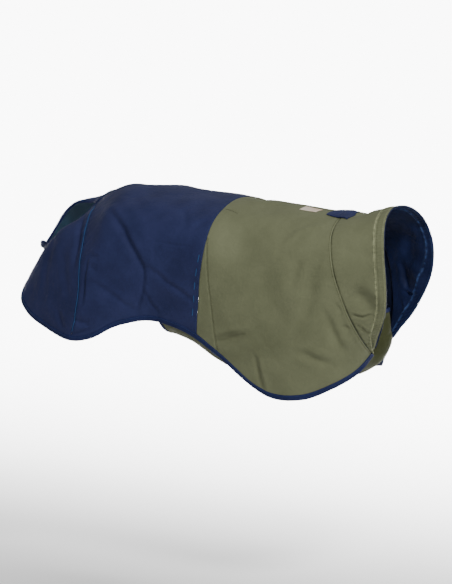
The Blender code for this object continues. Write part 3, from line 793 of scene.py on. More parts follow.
class Workshop:
    """Makes the finishes once, and turns grids of points into pieces that ride on the jacket's body."""

    def __init__(self) -> None:
        """Starts with no finish made, no sheet and nothing sewn on one."""
        self.made: dict[str, bpy.types.Material] = {}
        self.sheets: list[tuple[bpy.types.Object, Cut]] = []
        self.sewn_on: dict[str, list[bpy.types.Object]] = {}

    def sew(self, piece: bpy.types.Object, sheet: str) -> None:
        """Keeps a tape or a row of stitches with its sheet."""
        self.sewn_on.setdefault(sheet, []).append(piece)

    def finish(self, finish: Finish) -> bpy.types.Material:
        """The material of this finish, made once.

        Args:
            finish: The finish that is wanted.

        Returns:
            Its material.
        """
        if finish.name not in self.made:
            self.made[finish.name] = finish.build()
        return self.made[finish.name]

    def piece(
        self,
        name: str,
        points: Array,
        faces: Array,
        corner_uv: Array,
        finishes: tuple[Finish, ...],
        slot: str,
        wear_and_highlight: Array | None = None,
        caps: list[list[int]] | None = None,
    ) -> bpy.types.Object:
        """Puts points and faces into a mesh, and the mesh on the body.

        Args:
            name: The piece's name.
            points: Its points, one a row.
            faces: Its four-cornered faces.
            corner_uv: The place on the cloth, in metres, of each corner of each face.
            finishes: Its finish, and the one of its inside.
            slot: Not used.
            wear_and_highlight: How far each point is paled, from 0 to 1: by wear beside seams, and by painted
                highlight on the collar's welt and rim.
            caps: Faces that close its ends.

        Returns:
            The piece.
        """
        mesh = bpy.data.meshes.new(name)
        mesh.from_pydata(points.tolist(), [], faces.tolist() + (caps or []))
        layer = mesh.uv_layers.new(name=CLOTH_UV)
        extra = sum(len(cap) for cap in caps or [])
        corners = np.concatenate([corner_uv.reshape(-1, 2), np.zeros((extra, 2))])
        layer.data.foreach_set("uv", corners.ravel())
        worn_and_lit = np.zeros(len(points)) if wear_and_highlight is None else wear_and_highlight.ravel()
        mesh.attributes.new(EDGE_WEAR_AND_HIGHLIGHT, "FLOAT", "POINT").data.foreach_set("value", worn_and_lit.astype(np.float32))
        mesh.polygons.foreach_set("use_smooth", np.ones(len(mesh.polygons), bool))
        for finish in finishes:
            mesh.materials.append(self.finish(finish))
        made = bpy.data.objects.new(name, mesh)
        bpy.context.scene.collection.objects.link(made)
        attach(made, "root")
        area = sum(face.area for face in mesh.polygons)
        LOG.info("%s: %d points, %d faces, %.4f square metres", name, len(points), len(mesh.polygons), area)
        return made

    def cloth(
        self,
        name: str,
        points: Array,
        finishes: tuple[Finish, Finish],
        slot: str,
        node: str,
        cut: Cut,
        wear_and_highlight: Array | None = None,
        wall: float = 0.0007,
        offset: float = -1.0,
        outward: bool = True,
    ) -> None:
        """A sheet of cloth over a grid of points, in place of its solid.

        Args:
            name: The piece's name.
            points: A grid of its outer points.
            finishes: Its outer finish and its inner one.
            slot: The record's material slot.
            node: The solid's node.
            cut: What it was cut to, and how it is held.
            wear_and_highlight: How far each point is paled, by wear and by painted highlight.
            wall: The cloth's thickness.
            offset: -1 where the thickness lies behind the points, and 0 where it lies on both sides of them.
            outward: Whether the grid's rows and columns already turn the faces outward.
        """
        faces = cells(np.arange(points[..., 0].size).reshape(points.shape[:2])).reshape(-1, 4)
        if not outward:
            faces = faces[:, ::-1]
        places = cloth_places(points).reshape(-1, 2)[faces]
        made = self.piece(name, points.reshape(-1, 3), faces, places, finishes, slot, wear_and_highlight)
        thickness = made.modifiers.new("Cloth thickness", "SOLIDIFY")
        thickness.thickness = wall
        thickness.offset = offset
        thickness.material_offset = 1
        thickness.material_offset_rim = 0
        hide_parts(node)
        self.sheets.append((made, cut))

    def tube(
        self, name: str, loops: Array, finish: Finish, slot: str, sheet: str, node: str | None = None
    ) -> None:
        """A closed piece whose outline is carried along a path, sewn on a sheet.

        Args:
            name: The piece's name.
            loops: One ring of points a row.
            finish: Its finish.
            slot: The record's material slot.
            sheet: The sheet that it is sewn on.
            node: The node of the solid that it stands in for, if it has one.
        """
        index = np.arange(loops[..., 0].size).reshape(loops.shape[:2])
        index = np.concatenate([index, index[:, :1]], axis=1)
        faces = cells(index).reshape(-1, 4)
        corners = cells(cloth_places(np.concatenate([loops, loops[:, :1]], axis=1))).reshape(-1, 4, 2)
        points = loops.reshape(-1, 3)
        caps = [index[0, :-1][::-1].tolist(), index[-1, :-1].tolist()]
        if signed_volume(points, faces) < 0.0:
            faces, corners = faces[:, ::-1], corners[:, ::-1]
            caps = [cap[::-1] for cap in caps]
        made = self.piece(name, points, faces, corners, (finish,), slot, caps=caps)
        if node:
            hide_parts(node)
        self.sew(made, sheet)


def cells(grid: Array) -> Array:
    """The values at the four corners of each cell of a grid, in order round it."""
    return np.stack([grid[:-1, :-1], grid[:-1, 1:], grid[1:, 1:], grid[1:, :-1]], axis=2)


def cloth_places(points: Array) -> Array:
    """Where each grid point lies on its flat cloth: the mean run along each axis, in metres.

    Args:
        points: A grid of points.

    Returns:
        Two lengths for each point: across the cloth and along it.
    """
    across = np.linalg.norm(np.diff(points, axis=1), axis=-1).cumsum(axis=1)
    across = np.concatenate([np.zeros((len(points), 1)), across], axis=1)
    across = across - across[:, across.shape[1] // 2][:, None]
    along = np.linalg.norm(np.diff(points, axis=0), axis=-1).mean(axis=1).cumsum()
    along = np.concatenate([[0.0], along])
    return np.stack([across, np.broadcast_to(along[:, None], across.shape)], axis=-1)


def signed_volume(points: Array, faces: Array) -> float:
    """The volume that faces enclose, negative where they face inward: tetrahedra from the mean point.

    Args:
        points: Points, one a row.
        faces: Four-cornered faces, by the numbers of their points.

    Returns:
        The volume in cubic metres.
    """
    corners = points[faces] - points.mean(axis=0)
    total = 0.0
    for a, b, c in ((0, 1, 2), (0, 2, 3)):
        total += np.einsum("ij,ij", corners[:, a], np.cross(corners[:, b], corners[:, c]))
    return total / 6.0


def graded(steps: int, length: float, near: tuple[float, ...] = (0.0005, 0.0011, 0.0019, 0.0032)) -> Array:
    """Shares from 0 to 1 in even steps, with more of them at these distances in metres from both ends."""
    close = np.array(near) / length
    return np.unique(np.round(np.concatenate([np.linspace(0.0, 1.0, steps + 1), close, 1.0 - close]), 6))


def net(down: Array, along: Array) -> tuple[Array, Array]:
    """A grid's two numbers at each of its points, the first one down its rows."""
    return tuple(np.meshgrid(down, along, indexing="ij"))


def border_distance(points: Array, axis: int, end: int) -> Array:
    """How far each grid point lies from one border, along the grid's own lines.

    Args:
        points: A grid of points.
        axis: 0 for its first or last row, and 1 for its first or last column.
        end: 0 for the first one, and 1 for the last.

    Returns:
        The distance in metres at each point.
    """
    steps = np.linalg.norm(np.diff(points, axis=axis), axis=-1)
    grid = np.moveaxis(steps, axis, 0)
    if end:
        grid = grid[::-1]
    run = np.concatenate([np.zeros_like(grid[:1]), grid.cumsum(axis=0)])
    return np.moveaxis(run[::-1] if end else run, 0, axis)


@dataclass(frozen=True)
class Seam:
    """A sewn border of a panel: its edge turns down, and the stitching beside it gathers the cloth a little.

    axis and end name the border: the grid's first or last row, or its first or last column.
    """

    axis: int
    end: int
    drop: float = 0.0010
    radius: float = 0.0012
    gather: float = 0.0
    gather_reach: float = 0.005
    waves: float = 40.0
    seed: float = 0.0

    def stand(self, points: Array) -> Array:
        """How far the cloth stands out because of the seam.

        The edge drops as a bell curve of the distance from the border, and uneven waves fade with it.

        Args:
            points: The panel's grid.

        Returns:
            The height at each point, mostly negative.
        """
        distance = border_distance(points, self.axis, self.end)
        stand = -self.drop * bell(distance, 0.0, self.radius)
        if self.gather:
            share = np.linspace(0.0, 1.0, points.shape[1 - self.axis])
            share = np.broadcast_to(share[None, :] if self.axis == 0 else share[:, None], points.shape[:2])
            reach = distance / self.gather_reach * np.exp(1.0 - distance / self.gather_reach)
            stand -= self.gather * gathered(share, self.waves, self.seed) * reach
        return stand

    def wear_and_highlight(self, points: Array) -> Array:
        """How worn the border is: 1 beside its edge, fading over 3 mm."""
        return bell(border_distance(points, self.axis, self.end), 0.001, 0.003)


def sewn(
    form: Cloth, along: Array, across: Array, seams: tuple[Seam, ...], extra: Array | float = 0.0
) -> tuple[Array, Array]:
    """The grid of a sewn panel, and how worn it is.

    Args:
        form: The surface that the panel is cut for.
        along: The first number at each grid point.
        across: The second number.
        seams: The panel's sewn borders.
        extra: More height at each point.

    Returns:
        The points and the wear.
    """
    smooth, normals = form.form(along, across), form.normal(along, across)
    stand = form.relief(smooth, normals, form.hold(along)) + extra
    wear_and_highlight = np.zeros(smooth.shape[:-1])
    for seam in seams:
        stand = stand + seam.stand(smooth)
        wear_and_highlight = np.maximum(wear_and_highlight, SEAM_WEAR * seam.wear_and_highlight(smooth))
    return smooth + stand[..., None] * normals, wear_and_highlight


def wedge_seam(share: Array | float) -> Array:
    """The row of the wedge's front seam, which leaves the navy seam at mid-side. share is 1 at the hem."""
    opened = np.clip((np.abs(share) - WEDGE_TOP) / (1.0 - WEDGE_TOP), 0.0, 1.0)
    return NAVY_ROW - WEDGE_ROWS_AT_HEM * opened


@dataclass(frozen=True)
class Shell:
    """The coat's panels: olive over the shoulders, navy over the loin and the thighs, and two wedges."""

    workshop: Workshop
    to_binding: float = 0.994
    beside_opening: float = 0.001
    front_cut: Cut = Cut((0.78, 0.29), Held.DRAPED, "collar_cloth", 0.160)
    saddle_cut: Cut = Cut((0.66, 0.26), Held.DRAPED, "front_panel_cloth", 0.132)
    wedge_cut: Cut = Cut((0.045, 0.19), Held.DRAPED, "front_panel_cloth", 0.0036)
    thigh_cut: Cut = Cut((0.24, 0.22), Held.DRAPED, "saddle_cloth", 0.034)

    def panel(
        self, node: str, row: Array, q: Array, seams: tuple[Seam, ...], navy: bool, cut: Cut,
        outward: bool = True,
    ) -> None:
        """A panel of the coat.

        Args:
            node: Its solid's node, from which it takes its name.
            row: The row at each grid point.
            q: The place round the coat at each grid point.
            seams: Its sewn borders.
            navy: Whether it is navy, or olive.
            cut: What it was cut to, and how it is held.
            outward: Whether the grid already turns the faces outward.
        """
        points, wear_and_highlight = sewn(COAT_FORM, row, q, seams)
        finishes, slot = (NAVY, "navy_shell") if navy else (OLIVE, "olive_shell")
        self.workshop.cloth(node + "_cloth", points, finishes, slot, node, cut, wear_and_highlight, outward=outward)

    def front_panel(self) -> None:
        """The olive panel from the collar seam to the navy one."""
        down, along = net(graded(86, 0.2), graded(250, 0.7))
        share = 2.0 * along - 1.0
        at_collar = Seam(0, 0, gather=0.0004, gather_reach=0.004, waves=58.0, seed=0.4)
        at_navy = Seam(0, 1, drop=0.0005, gather=0.0003, waves=40.0, seed=1.9)
        row = down * wedge_seam(share)
        self.panel("front_panel", row, share * self.to_binding, (at_collar, at_navy), False, self.front_cut)

    def saddle(self) -> None:
        """The navy panel over the loin."""
        down, along = net(graded(92, 0.24), graded(236, 0.66))
        at_olive = Seam(0, 0, drop=0.0006, gather=0.0003, waves=36.0, seed=2.2)
        at_rump = Seam(0, 1, gather=0.0006, waves=44.0, seed=0.9)
        row = NAVY_ROW + (RUMP_ROW - NAVY_ROW) * down
        q = (2.0 * along - 1.0) * self.to_binding
        self.panel("saddle", row, q, (at_olive, at_rump), True, self.saddle_cut)

    def wedges(self) -> None:
        """The two olive wedges let into the navy seam."""
        down, along = net(graded(16, 0.03), graded(64, 0.18))
        share = WEDGE_TOP + (1.0 - WEDGE_TOP) * along
        row = wedge_seam(share) + (NAVY_ROW - wedge_seam(share)) * down
        seams = (Seam(0, 0, drop=0.0008), Seam(0, 1, gather=0.0002, waves=14.0))
        for name, side in SIDES:
            q = side * share * self.to_binding
            self.panel("wedge_" + name, row, q, seams, False, self.wedge_cut, side > 0.0)

    def thighs(self) -> None:
        """The two navy panels from the rump seam round to the middle of the rump."""
        down, along = net(graded(110, 0.2), graded(92, 0.2))
        row = RUMP_ROW + (END_ROW - RUMP_ROW) * down
        seams = (Seam(0, 0, gather=0.0005, waves=16.0, seed=3.0), Seam(0, 1))
        for name, side in SIDES:
            edge = COAT_FORM.share_of(row, np.full_like(row, side), self.beside_opening, at_hem=False)
            q = side * (edge + (self.to_binding - edge) * along)
            self.panel("thigh_" + name, row, q, seams, True, self.thigh_cut, side > 0.0)

    def build(self) -> None:
        """Builds the panels from the head to the tail."""
        self.front_panel()
        self.wedges()
        self.saddle()
        self.thighs()


@dataclass(frozen=True)
class Collar:
    """The raised collar: an olive shell with a stitched channel at its rim, and a navy lining."""

    workshop: Workshop
    channel: float = 0.0155
    welt: float = 0.0010
    pucker: float = 0.0018
    waves: float = 104.0
    pleats: float = 88.0
    pleat_share: float = 0.35
    roll: float = 0.0010
    lining_gap: float = 0.0026
    columns: int = 521
    past_seam: tuple[float, float] = (-0.02, -0.045)
    shell_cut: Cut = Cut((0.60, 0.13), Held.DRAPED, "front_panel_cloth", 0.052)
    lining_cut: Cut = Cut((0.60, 0.13), Held.DRAPED, "collar_cloth", 0.052)

    def line(self, q: Array, extra: Array | float = 0.0) -> Array:
        """v at the channel's stitching, which keeps its distance from the rim until the collar is too low."""
        high = COLLAR_FORM.height(q)
        return 1.0 - np.minimum(self.channel + extra, 0.5 * high) / high

    def grid(self, q: Array, rest: int, fine: int, extra: Array | float = 0.0) -> Array:
        """v in rows from the seam to the rim, closer together in the channel and next to the seam.

        Args:
            q: Round the collar.
            rest: Rows below the channel.
            fine: Rows in it.
            extra: How much wider the channel is.

        Returns:
            v at each row and q.
        """
        start = np.clip(self.line(q, extra) - 0.004 / COLLAR_FORM.height(q), 0.1, 1.0)
        below = np.concatenate([[0.0, 0.012, 0.028, 0.05], np.linspace(0.08, 1.0, rest)])[:-1, None] * start
        return np.concatenate([below, start + np.linspace(0.0, 1.0, fine)[:, None] * (1.0 - start)])

    def channel_stand(self, v: Array, q: Array, line: Array, sign: float) -> Array:
        """The channel's relief: a welt along its stitching, and puckers from there to the rim.

        The welt is a bell curve across the stitching, with a groove beside it. The puckers are uneven waves
        along the rim, highest in the middle of the channel and toward the throat, where pleats join them all
        the way from the seam.

        Args:
            v: Along the collar, from its seam to its rim.
            q: Round the collar.
            line: v at the stitching.
            sign: +1 where the welt stands outward, and -1 where it stands inward.

        Returns:
            The height at each point.
        """
        above = (v - line) * COLLAR_FORM.height(q)
        welt = sign * bell(above, -0.0008, 0.0014)
        if sign > 0.0:
            welt = welt - 0.9 * bell(above, 0.0022, 0.0016)
        inside = np.clip((v - line) / (1.0 - line), 0.0, 1.0)
        tight = 0.30 + 0.90 * smooth_step((np.abs(q) - 0.55) / 0.25)
        pucker = gathered(0.5 * (q + 1.0), self.waves, 0.7) * np.sin(np.pi * inside**0.7) * tight
        near_throat = smooth_step((np.abs(q) - 0.70) / 0.10)
        pleats = gathered(0.5 * (q + 1.0), self.pleats, 2.3) * np.sin(np.pi * v) * near_throat
        return self.welt * welt - self.pucker * pucker - self.pleat_share * self.pucker * pleats

    def rim(self, edge: Array, q: Array, degrees: list[float], radius: float) -> Array:
        """Rings of points that roll over the rim.

        Args:
            edge: The last row of the shell.
            q: Round the collar.
            degrees: How far each ring has turned over.
            radius: The roll's radius.

        Returns:
            One row of points a ring.
        """
        turned = np.radians(degrees)[:, None, None]
        inward = (np.cos(turned) - 1.0) * COLLAR_FORM.normal(np.ones_like(q), q)
        return edge + radius * (np.sin(turned) * COLLAR_FORM.onward(q) + inward)

    def shell(self) -> Array:
        """The olive shell, from the seam to the top of its rolled rim.

        Returns:
            The last row before the roll.
        """
        q = np.linspace(-1.0, 1.0, self.columns)
        v = self.grid(q, 26, 24)
        around = np.broadcast_to(q, v.shape)
        stand = self.channel_stand(v, around, self.line(q), 1.0)
        seam = Seam(
            0, 0, drop=0.0018, radius=0.0014, gather=0.0006, gather_reach=0.0035, waves=64.0, seed=0.4
        )
        points, _ = sewn(COLLAR_FORM, v, around, (seam,), stand)
        # Painted highlight: the cloth is paled along the welt of the channel's stitching, and on the rolled
        # rim
        wear_and_highlight = 0.9 * bell((v - self.line(q)) * COLLAR_FORM.height(q), -0.0008, 0.0020) + 0.4 * (v > 0.985)
        rolled = self.rim(points[-1], q, [25.0, 50.0, 75.0], self.roll)
        wear_and_highlight = np.concatenate([wear_and_highlight, np.full((len(rolled), len(q)), 0.5)])
        self.workshop.cloth(
            "collar_cloth", np.concatenate([points, rolled]), OLIVE, "olive_shell",
            "collar_shell", self.shell_cut, wear_and_highlight, wall=0.0005, outward=False,
        )
        return points[-1]

    def lining(self, edge: Array) -> None:
        """The lining, from the top of the rim over its inner half and down past the seam, which it backs.

        It stands out past the shell beside the throat.

        Args:
            edge: The shell's last row before the roll.
        """
        q = np.linspace(-1.0, 1.0, self.columns)
        wide = 0.009 * smooth_step((np.abs(q) - 0.45) / 0.25) - 0.004
        line = self.line(q, wide)
        under = np.array(self.past_seam)[:, None] * np.ones_like(q)
        v = np.concatenate([self.grid(q, 24, 24, wide)[::-1][1:], under])
        stand = -self.lining_gap + self.channel_stand(v, np.broadcast_to(q, v.shape), line, -1.0)
        points, _ = sewn(COLLAR_FORM, v, 0.99 * np.broadcast_to(q, v.shape), (), stand)
        # Painted highlight: the lining is paled along its welt, and a little at its rim
        wear_and_highlight = bell((v - line) * COLLAR_FORM.height(q), -0.0008, 0.0026) + 0.15 * (v > 0.97)
        lip = 0.0032 * smooth_step((np.abs(q) - 0.76) / 0.10) + 0.0001
        rolled = self.rim(edge, q, [40.0, 65.0, 90.0, 115.0, 140.0, 165.0], self.roll + 0.0001)
        rolled = rolled + lip[:, None] * COLLAR_FORM.onward(q)
        wear_and_highlight = np.concatenate([np.zeros((len(rolled), len(q))), wear_and_highlight])
        self.workshop.cloth(
            "collar_lining_cloth", np.concatenate([rolled, points]), (SATIN_LINING, SATIN_LINING),
            "collar_lining", "collar_lining", self.lining_cut, wear_and_highlight, wall=0.0004, offset=0.0,
        )

    def build(self) -> None:
        """Builds the shell and the lining."""
        self.lining(self.shell())


def fold_outline(width: float, outer: float = 0.0011, inner: float = 0.0013) -> tuple[Array, Array]:
    """The outline of a tape folded over a cloth's edge.

    Args:
        width: How far it reaches in from the edge.
        outer: How far it stands out from the cloth's face.
        inner: How far it stands in behind the face.

    Returns:
        Distances in from the edge and heights above the face, once round.
    """
    inward = width * np.array([1.00, 0.96, 0.80, 0.50, 0.22, 0.04, -0.04, 0.00, 0.30, 0.75, 0.98, 1.00])
    height = np.array([0.1, 0.8, 1.0, 1.05, 1.0, 0.75, -0.15, -1.0, -1.3, -1.3, -1.1, -0.6])
    return inward, np.where(height > 0.0, height * outer, height * inner)


@dataclass(frozen=True)
class Chest:
    """The olive panel from the throat to the belly, and its taped edges.

    The metres a row are how far one row of the table runs at the throat and at the belly.
    """

    workshop: Workshop
    tape: float = 0.008
    first_row: float = 0.12
    rows_long: float = 12.76
    leg_rows: tuple[float, float] = (8.0, 11.0)
    throat_metres_a_row: float = 0.022
    belly_metres_a_row: float = 0.050
    cut: Cut = Cut((0.21, 0.42), Held.HUNG, "front_panel_cloth", 0.058)

    def edge(self, row: Array) -> Array:
        """The share of the half width that the panel takes up, drawn in for the tapes beside the legs."""
        return 1.0 - np.where(row <= self.leg_rows[1], self.tape, 0.0) / smooth_rows(CHEST, row)[..., 2]

    def panel(self) -> None:
        """The panel itself."""
        row, across = net(self.first_row + self.rows_long * graded(150, 0.4), graded(64, 0.15))
        borders = tuple(Seam(axis, end) for axis in (0, 1) for end in (0, 1))
        points, wear_and_highlight = sewn(CHEST_FORM, row, self.edge(row) * (1.0 - 2.0 * across), borders)
        # The chest panel is the olive cloth drawn darker all over, as painted shade
        finishes = (OLIVE_PAINTED_SHADE, OLIVE_BACK)
        self.workshop.cloth(
            "chest_panel_cloth", points, finishes, "olive_shell", "chest_panel", self.cut, wear_and_highlight
        )

    def tube(self, name: str, row: Array, w: Array, height: Array, node: str) -> None:
        """A tape on the panel, from its outline's place at each row and its height above the panel."""
        loops = CHEST_FORM.point(row, w, height)
        self.workshop.tube(name, loops, EDGE_TAPE, "navy_binding", "chest_panel_cloth", node)

    def tapes(self) -> None:
        """The tapes on the throat edge, on the rear edge and beside the leg openings."""
        inward, height = fold_outline(self.tape)
        across = np.linspace(-1.0, 1.0, 81)[:, None] * np.ones_like(inward)
        row = inward / self.throat_metres_a_row * np.ones_like(across)
        self.tube("throat_tape", row, across * self.edge(row), height, "throat_binding")
        row = CHEST_FORM.last - inward / self.belly_metres_a_row * np.ones_like(across)
        self.tube("belly_tape", row, across, height, "belly_binding")
        row = np.linspace(*self.leg_rows, 90)[:, None] * np.ones_like(inward)
        width = smooth_rows(CHEST, row)[..., 2]
        for name, side in SIDES:
            self.tube(f"leg_tape_{name}", row, side * (1.0 - inward / width), height, f"leg_binding_{name}")

    def build(self) -> None:
        """Builds the panel and its tapes."""
        self.panel()
        self.tapes()


@dataclass(frozen=True)
class CoatTapes:
    """The navy tapes folded over the coat's lower edge and over the edge of the tail opening."""

    workshop: Workshop
    hem_width: float = 0.009
    tail_width: float = 0.0075
    tail_from: float = 10.04
    ripple: float = 0.00018

    def rings(self, rows: Array, width: float, at_hem: bool) -> Array:
        """The folded outline at each row, down the right side and back along the left one.

        Args:
            rows: The rows of the coat that it passes.
            width: The tape's width.
            at_hem: Whether it runs along the hem, or along the tail opening.

        Returns:
            One ring of points a row.
        """
        inward, height = fold_outline(width)
        row = rows[:, None] * np.ones_like(inward)
        halves = []
        for _, side in SIDES:
            share = COAT_FORM.share_of(row, np.full_like(row, side), inward, at_hem)
            q = side * np.maximum((1.0 - share) if at_hem else share, STEP)
            ripple = self.ripple * gathered(np.linspace(0.0, 1.0, len(rows)), 90.0, side)[:, None]
            halves.append(COAT_FORM.point(row, q, height - ripple * (height > 0.0)))
        return np.concatenate([halves[0], halves[1][-2::-1]])

    def build(self) -> None:
        """Builds both tapes."""
        fine, finer = np.linspace(0.05, 10.0, 250)[:-1], np.linspace(10.0, END_ROW, 150)
        rows = np.concatenate([[0.0, 0.02], fine, finer])
        loops = self.rings(rows, self.hem_width, True)
        self.workshop.tube("hem_tape", loops, EDGE_TAPE, "navy_binding", "front_panel_cloth", "hem_binding")
        loops = self.rings(np.linspace(self.tail_from, END_ROW, 170), self.tail_width, False)
        self.workshop.tube("tail_tape", loops, EDGE_TAPE, "navy_binding", "thigh_right_cloth", "tail_binding")


@dataclass(frozen=True)
class StitchLine:
    """A row of stitches on a surface: its path by two numbers, its sheet, and a stitch's size in metres."""

    name: str
    form: Cloth
    path: Path
    finish: Finish
    slot: str
    sheet: str = "front_panel_cloth"
    pitch: float = 0.0034
    length: float = 0.0027
    width: float = 0.00055
    height: float = 0.00030
    off: float = 0.00005

    def pods(self) -> tuple[Array, Array, Array]:
        """Points of every stitch, with the shape of one.

        Each stitch is a small pod: six rings of six points round its axis, whose width follows the root of
        one less the fourth power of the place along it.

        Returns:
            The points by stitch, ring and side, the places of the rings, and the angles of the sides.
        """
        along, across = self.path(np.linspace(0.0, 1.0, 1600))
        points = self.form.point(along, across, self.off)
        normals = self.form.normal(along, across)
        run = np.concatenate([[0.0], np.linalg.norm(np.diff(points, axis=0), axis=1).cumsum()])
        at = (np.arange(int(run[-1] / self.pitch)) + 0.5) * self.pitch
        centre, lift, ahead = (
            np.stack([np.interp(where, run, grid[:, axis]) for axis in range(3)], axis=-1)
            for where, grid in ((at, points), (at, normals), (at + 0.001, points))
        )
        ahead, lift = unit(ahead - centre), unit(lift)
        beside = np.cross(ahead, lift)
        place = np.array([-1.0, -0.86, -0.45, 0.45, 0.86, 1.0])
        girth = np.sqrt(np.clip(1.0 - place**4, 0.02, 1.0))
        angle = np.linspace(0.0, 2.0 * np.pi, 6, endpoint=False)
        rings = (
            centre[:, None, None]
            + 0.5 * self.length * place[None, :, None, None] * ahead[:, None, None]
            + 0.5 * self.width * (girth[:, None] * np.cos(angle))[None, ..., None] * beside[:, None, None]
            + self.height * (girth[:, None] * np.sin(angle))[None, ..., None] * lift[:, None, None]
        )
        return rings, place, angle

    def build(self, workshop: Workshop) -> None:
        """Lays the stitches on their sheet, all in one piece.

        Args:
            workshop: Makes the piece, and keeps it with its sheet.
        """
        rings, place, angle = self.pods()
        count, sections, sides = rings.shape[:3]
        index = np.arange(sections * sides).reshape(sections, sides)
        index = np.concatenate([index, index[:, :1]], axis=1)
        faces = cells(index).reshape(-1, 4)
        if signed_volume(rings[0].reshape(-1, 3), faces) < 0.0:
            faces = faces[:, ::-1]
        starts = (np.arange(count) * sections * sides)[:, None, None]
        every = (faces[None] + starts).reshape(-1, 4)
        caps = (np.stack([index[0, :-1], index[-1, :-1][::-1]])[None] + starts).reshape(-1, sides)
        lengthwise, round_it = place * 0.5 * self.length, angle * 0.5 * self.width
        uv = np.stack([np.repeat(lengthwise, sides), np.tile(round_it, sections)], axis=-1)
        corners = np.tile(uv[faces].reshape(-1, 2), (count, 1))
        made = workshop.piece(
            self.name, rings.reshape(-1, 3), every, corners, (self.finish,), self.slot, caps=caps.tolist()
        )
        workshop.sew(made, self.sheet)


def straight(start: tuple[float, float], end: tuple[float, float]) -> Path:
    """A straight path from one pair of numbers to another."""
    return lambda t: (start[0] + (end[0] - start[0]) * t, start[1] + (end[1] - start[1]) * t)


def rim_path(inward: float) -> Path:
    """A path round the collar, this far from its rim.

    Args:
        inward: How far in from the rim it runs, in metres.

    Returns:
        The path.
    """

    def path(t: Array) -> tuple[Array, Array]:
        """v and q along the rim.

        Args:
            t: Places along the path, from 0 to 1.

        Returns:
            v and q at each place.
        """
        q = 1.97 * t - 0.985
        high = COLLAR_FORM.height(q)
        return 1.0 - np.minimum(inward, 0.5 * high) / high, q

    return path


def edge_path(inward: float, side: float, at_hem: bool) -> Path:
    """A path along the hem or along the tail opening.

    Args:
        inward: How far in from the edge it runs.
        side: -1 on the right and 1 on the left.
        at_hem: Whether it runs along the hem, or along the tail opening.

    Returns:
        The path.
    """

    def path(t: Array) -> tuple[Array, Array]:
        """Rows and q along the edge.

        Args:
            t: Places along the path, from 0 to 1.

        Returns:
            The row and q at each place.
        """
        row = 0.05 + (END_ROW - 0.1) * t if at_hem else 10.15 + 3.6 * t
        share = COAT_FORM.share_of(row, np.full_like(row, side), inward, at_hem)
        return row, side * (1.0 - share if at_hem else share)

    return path


def wedge_path(side: float) -> Path:
    """A path just ahead of a wedge's front seam.

    Args:
        side: -1 on the right and 1 on the left.

    Returns:
        The path.
    """

    def path(t: Array) -> tuple[Array, Array]:
        """Rows and q along the seam."""
        share = WEDGE_TOP + (0.98 - WEDGE_TOP) * t
        return wedge_seam(share) - 0.05, side * share

    return path


@dataclass(frozen=True)
class Stitching:
    """Every visible row of stitches, the piping on the rump seam, and the reflective dashes."""

    workshop: Workshop
    piping_radius: float = 0.0007
    rump_metres_a_row: float = 0.055

    def lines(self) -> list[StitchLine]:
        """The rows of stitches that the jacket shows.

        Returns:
            Each row with its path, thread and place.
        """
        coat, collar, chest = COAT_FORM, COLLAR_FORM, CHEST_FORM
        dark, navy = (SHADED_THREAD, "olive_shell"), (NAVY_THREAD, "navy_shell")
        pale, tape = (OLIVE_THREAD, "olive_shell", "collar_cloth"), (NAVY_THREAD, "navy_binding")
        shine = (REFLECTIVE, "navy_shell", "saddle_cloth")
        bold = {"width": 0.0008, "height": 0.0005, "off": 0.0009}
        dash = {"pitch": 0.0225, "length": 0.0135, "width": 0.0018, "height": 0.0005}
        rows = [
            StitchLine("collar_seam_stitches", coat, straight((0.13, -0.99), (0.13, 0.99)), *dark),
            StitchLine("collar_channel_stitches", collar, rim_path(Collar.channel + 0.0008), *pale, **bold),
            StitchLine("collar_rim_stitches", collar, rim_path(0.0022), *pale),
            StitchLine(
                "navy_seam_stitches", coat, straight((6.035, -0.98), (6.035, 0.98)), *navy, "saddle_cloth"
            ),
            StitchLine(
                "saddle_end_stitches", coat, straight((9.93, -0.98), (9.93, 0.98)), *navy, "saddle_cloth"
            ),
        ]
        for name, side in SIDES:
            thigh = f"thigh_{name}_cloth"
            hem, tail = edge_path(0.0073, side, True), edge_path(0.0056, side, False)
            dashes = straight((6.10, side * 0.56), (6.115, side * 0.95))
            rump = straight((10.06, side * 0.08), (10.06, side * 0.98))
            dart = straight((5.90, side * 0.153), (4.90, side * 0.163))
            leg = straight((8.1, side * 0.91), (10.9, side * 0.935))
            rows += [
                StitchLine(f"hem_stitches_{name}", coat, hem, *tape, width=0.0007, height=0.0004, off=0.0010),
                StitchLine(f"tail_stitches_{name}", coat, tail, *tape, thigh, off=0.0010),
                StitchLine(f"reflective_dashes_{name}", coat, dashes, *shine, **dash),
                StitchLine(f"thigh_stitches_{name}", coat, rump, *navy, thigh),
                StitchLine(f"wedge_stitches_{name}", coat, wedge_path(side), *dark),
                StitchLine(f"dart_stitches_{name}", coat, dart, *dark),
                StitchLine(f"leg_stitches_{name}", chest, leg, *tape, "chest_panel_cloth", off=0.0010),
            ]
        belly = straight((12.865, -0.98), (12.865, 0.98))
        return rows + [StitchLine("belly_stitches", chest, belly, *tape, "chest_panel_cloth", off=0.0010)]

    def piping(self) -> None:
        """The narrow piping in the rump seam: a round outline, half sunk, down each side of the seam."""
        angle = np.linspace(0.0, 2.0 * np.pi, 8, endpoint=False)
        down = np.linspace(0.0, 1.0, 260)
        for name, side in SIDES:
            q = side * np.linspace(0.06, 0.93, 260)[:, None] * np.ones_like(angle)
            row = RUMP_ROW + self.piping_radius / self.rump_metres_a_row * np.cos(angle) * np.ones_like(q)
            off = 0.0001 + self.piping_radius * np.sin(angle) - 0.0003 * gathered(down, 24.0, side)[:, None]
            loops = COAT_FORM.point(row, q, off)
            self.workshop.tube(f"rump_piping_{name}", loops, REFLECTIVE, "navy_shell", "saddle_cloth")

    def build(self) -> None:
        """Lays every row of stitches, and the piping."""
        for line in self.lines():
            line.build(self.workshop)
        self.piping()


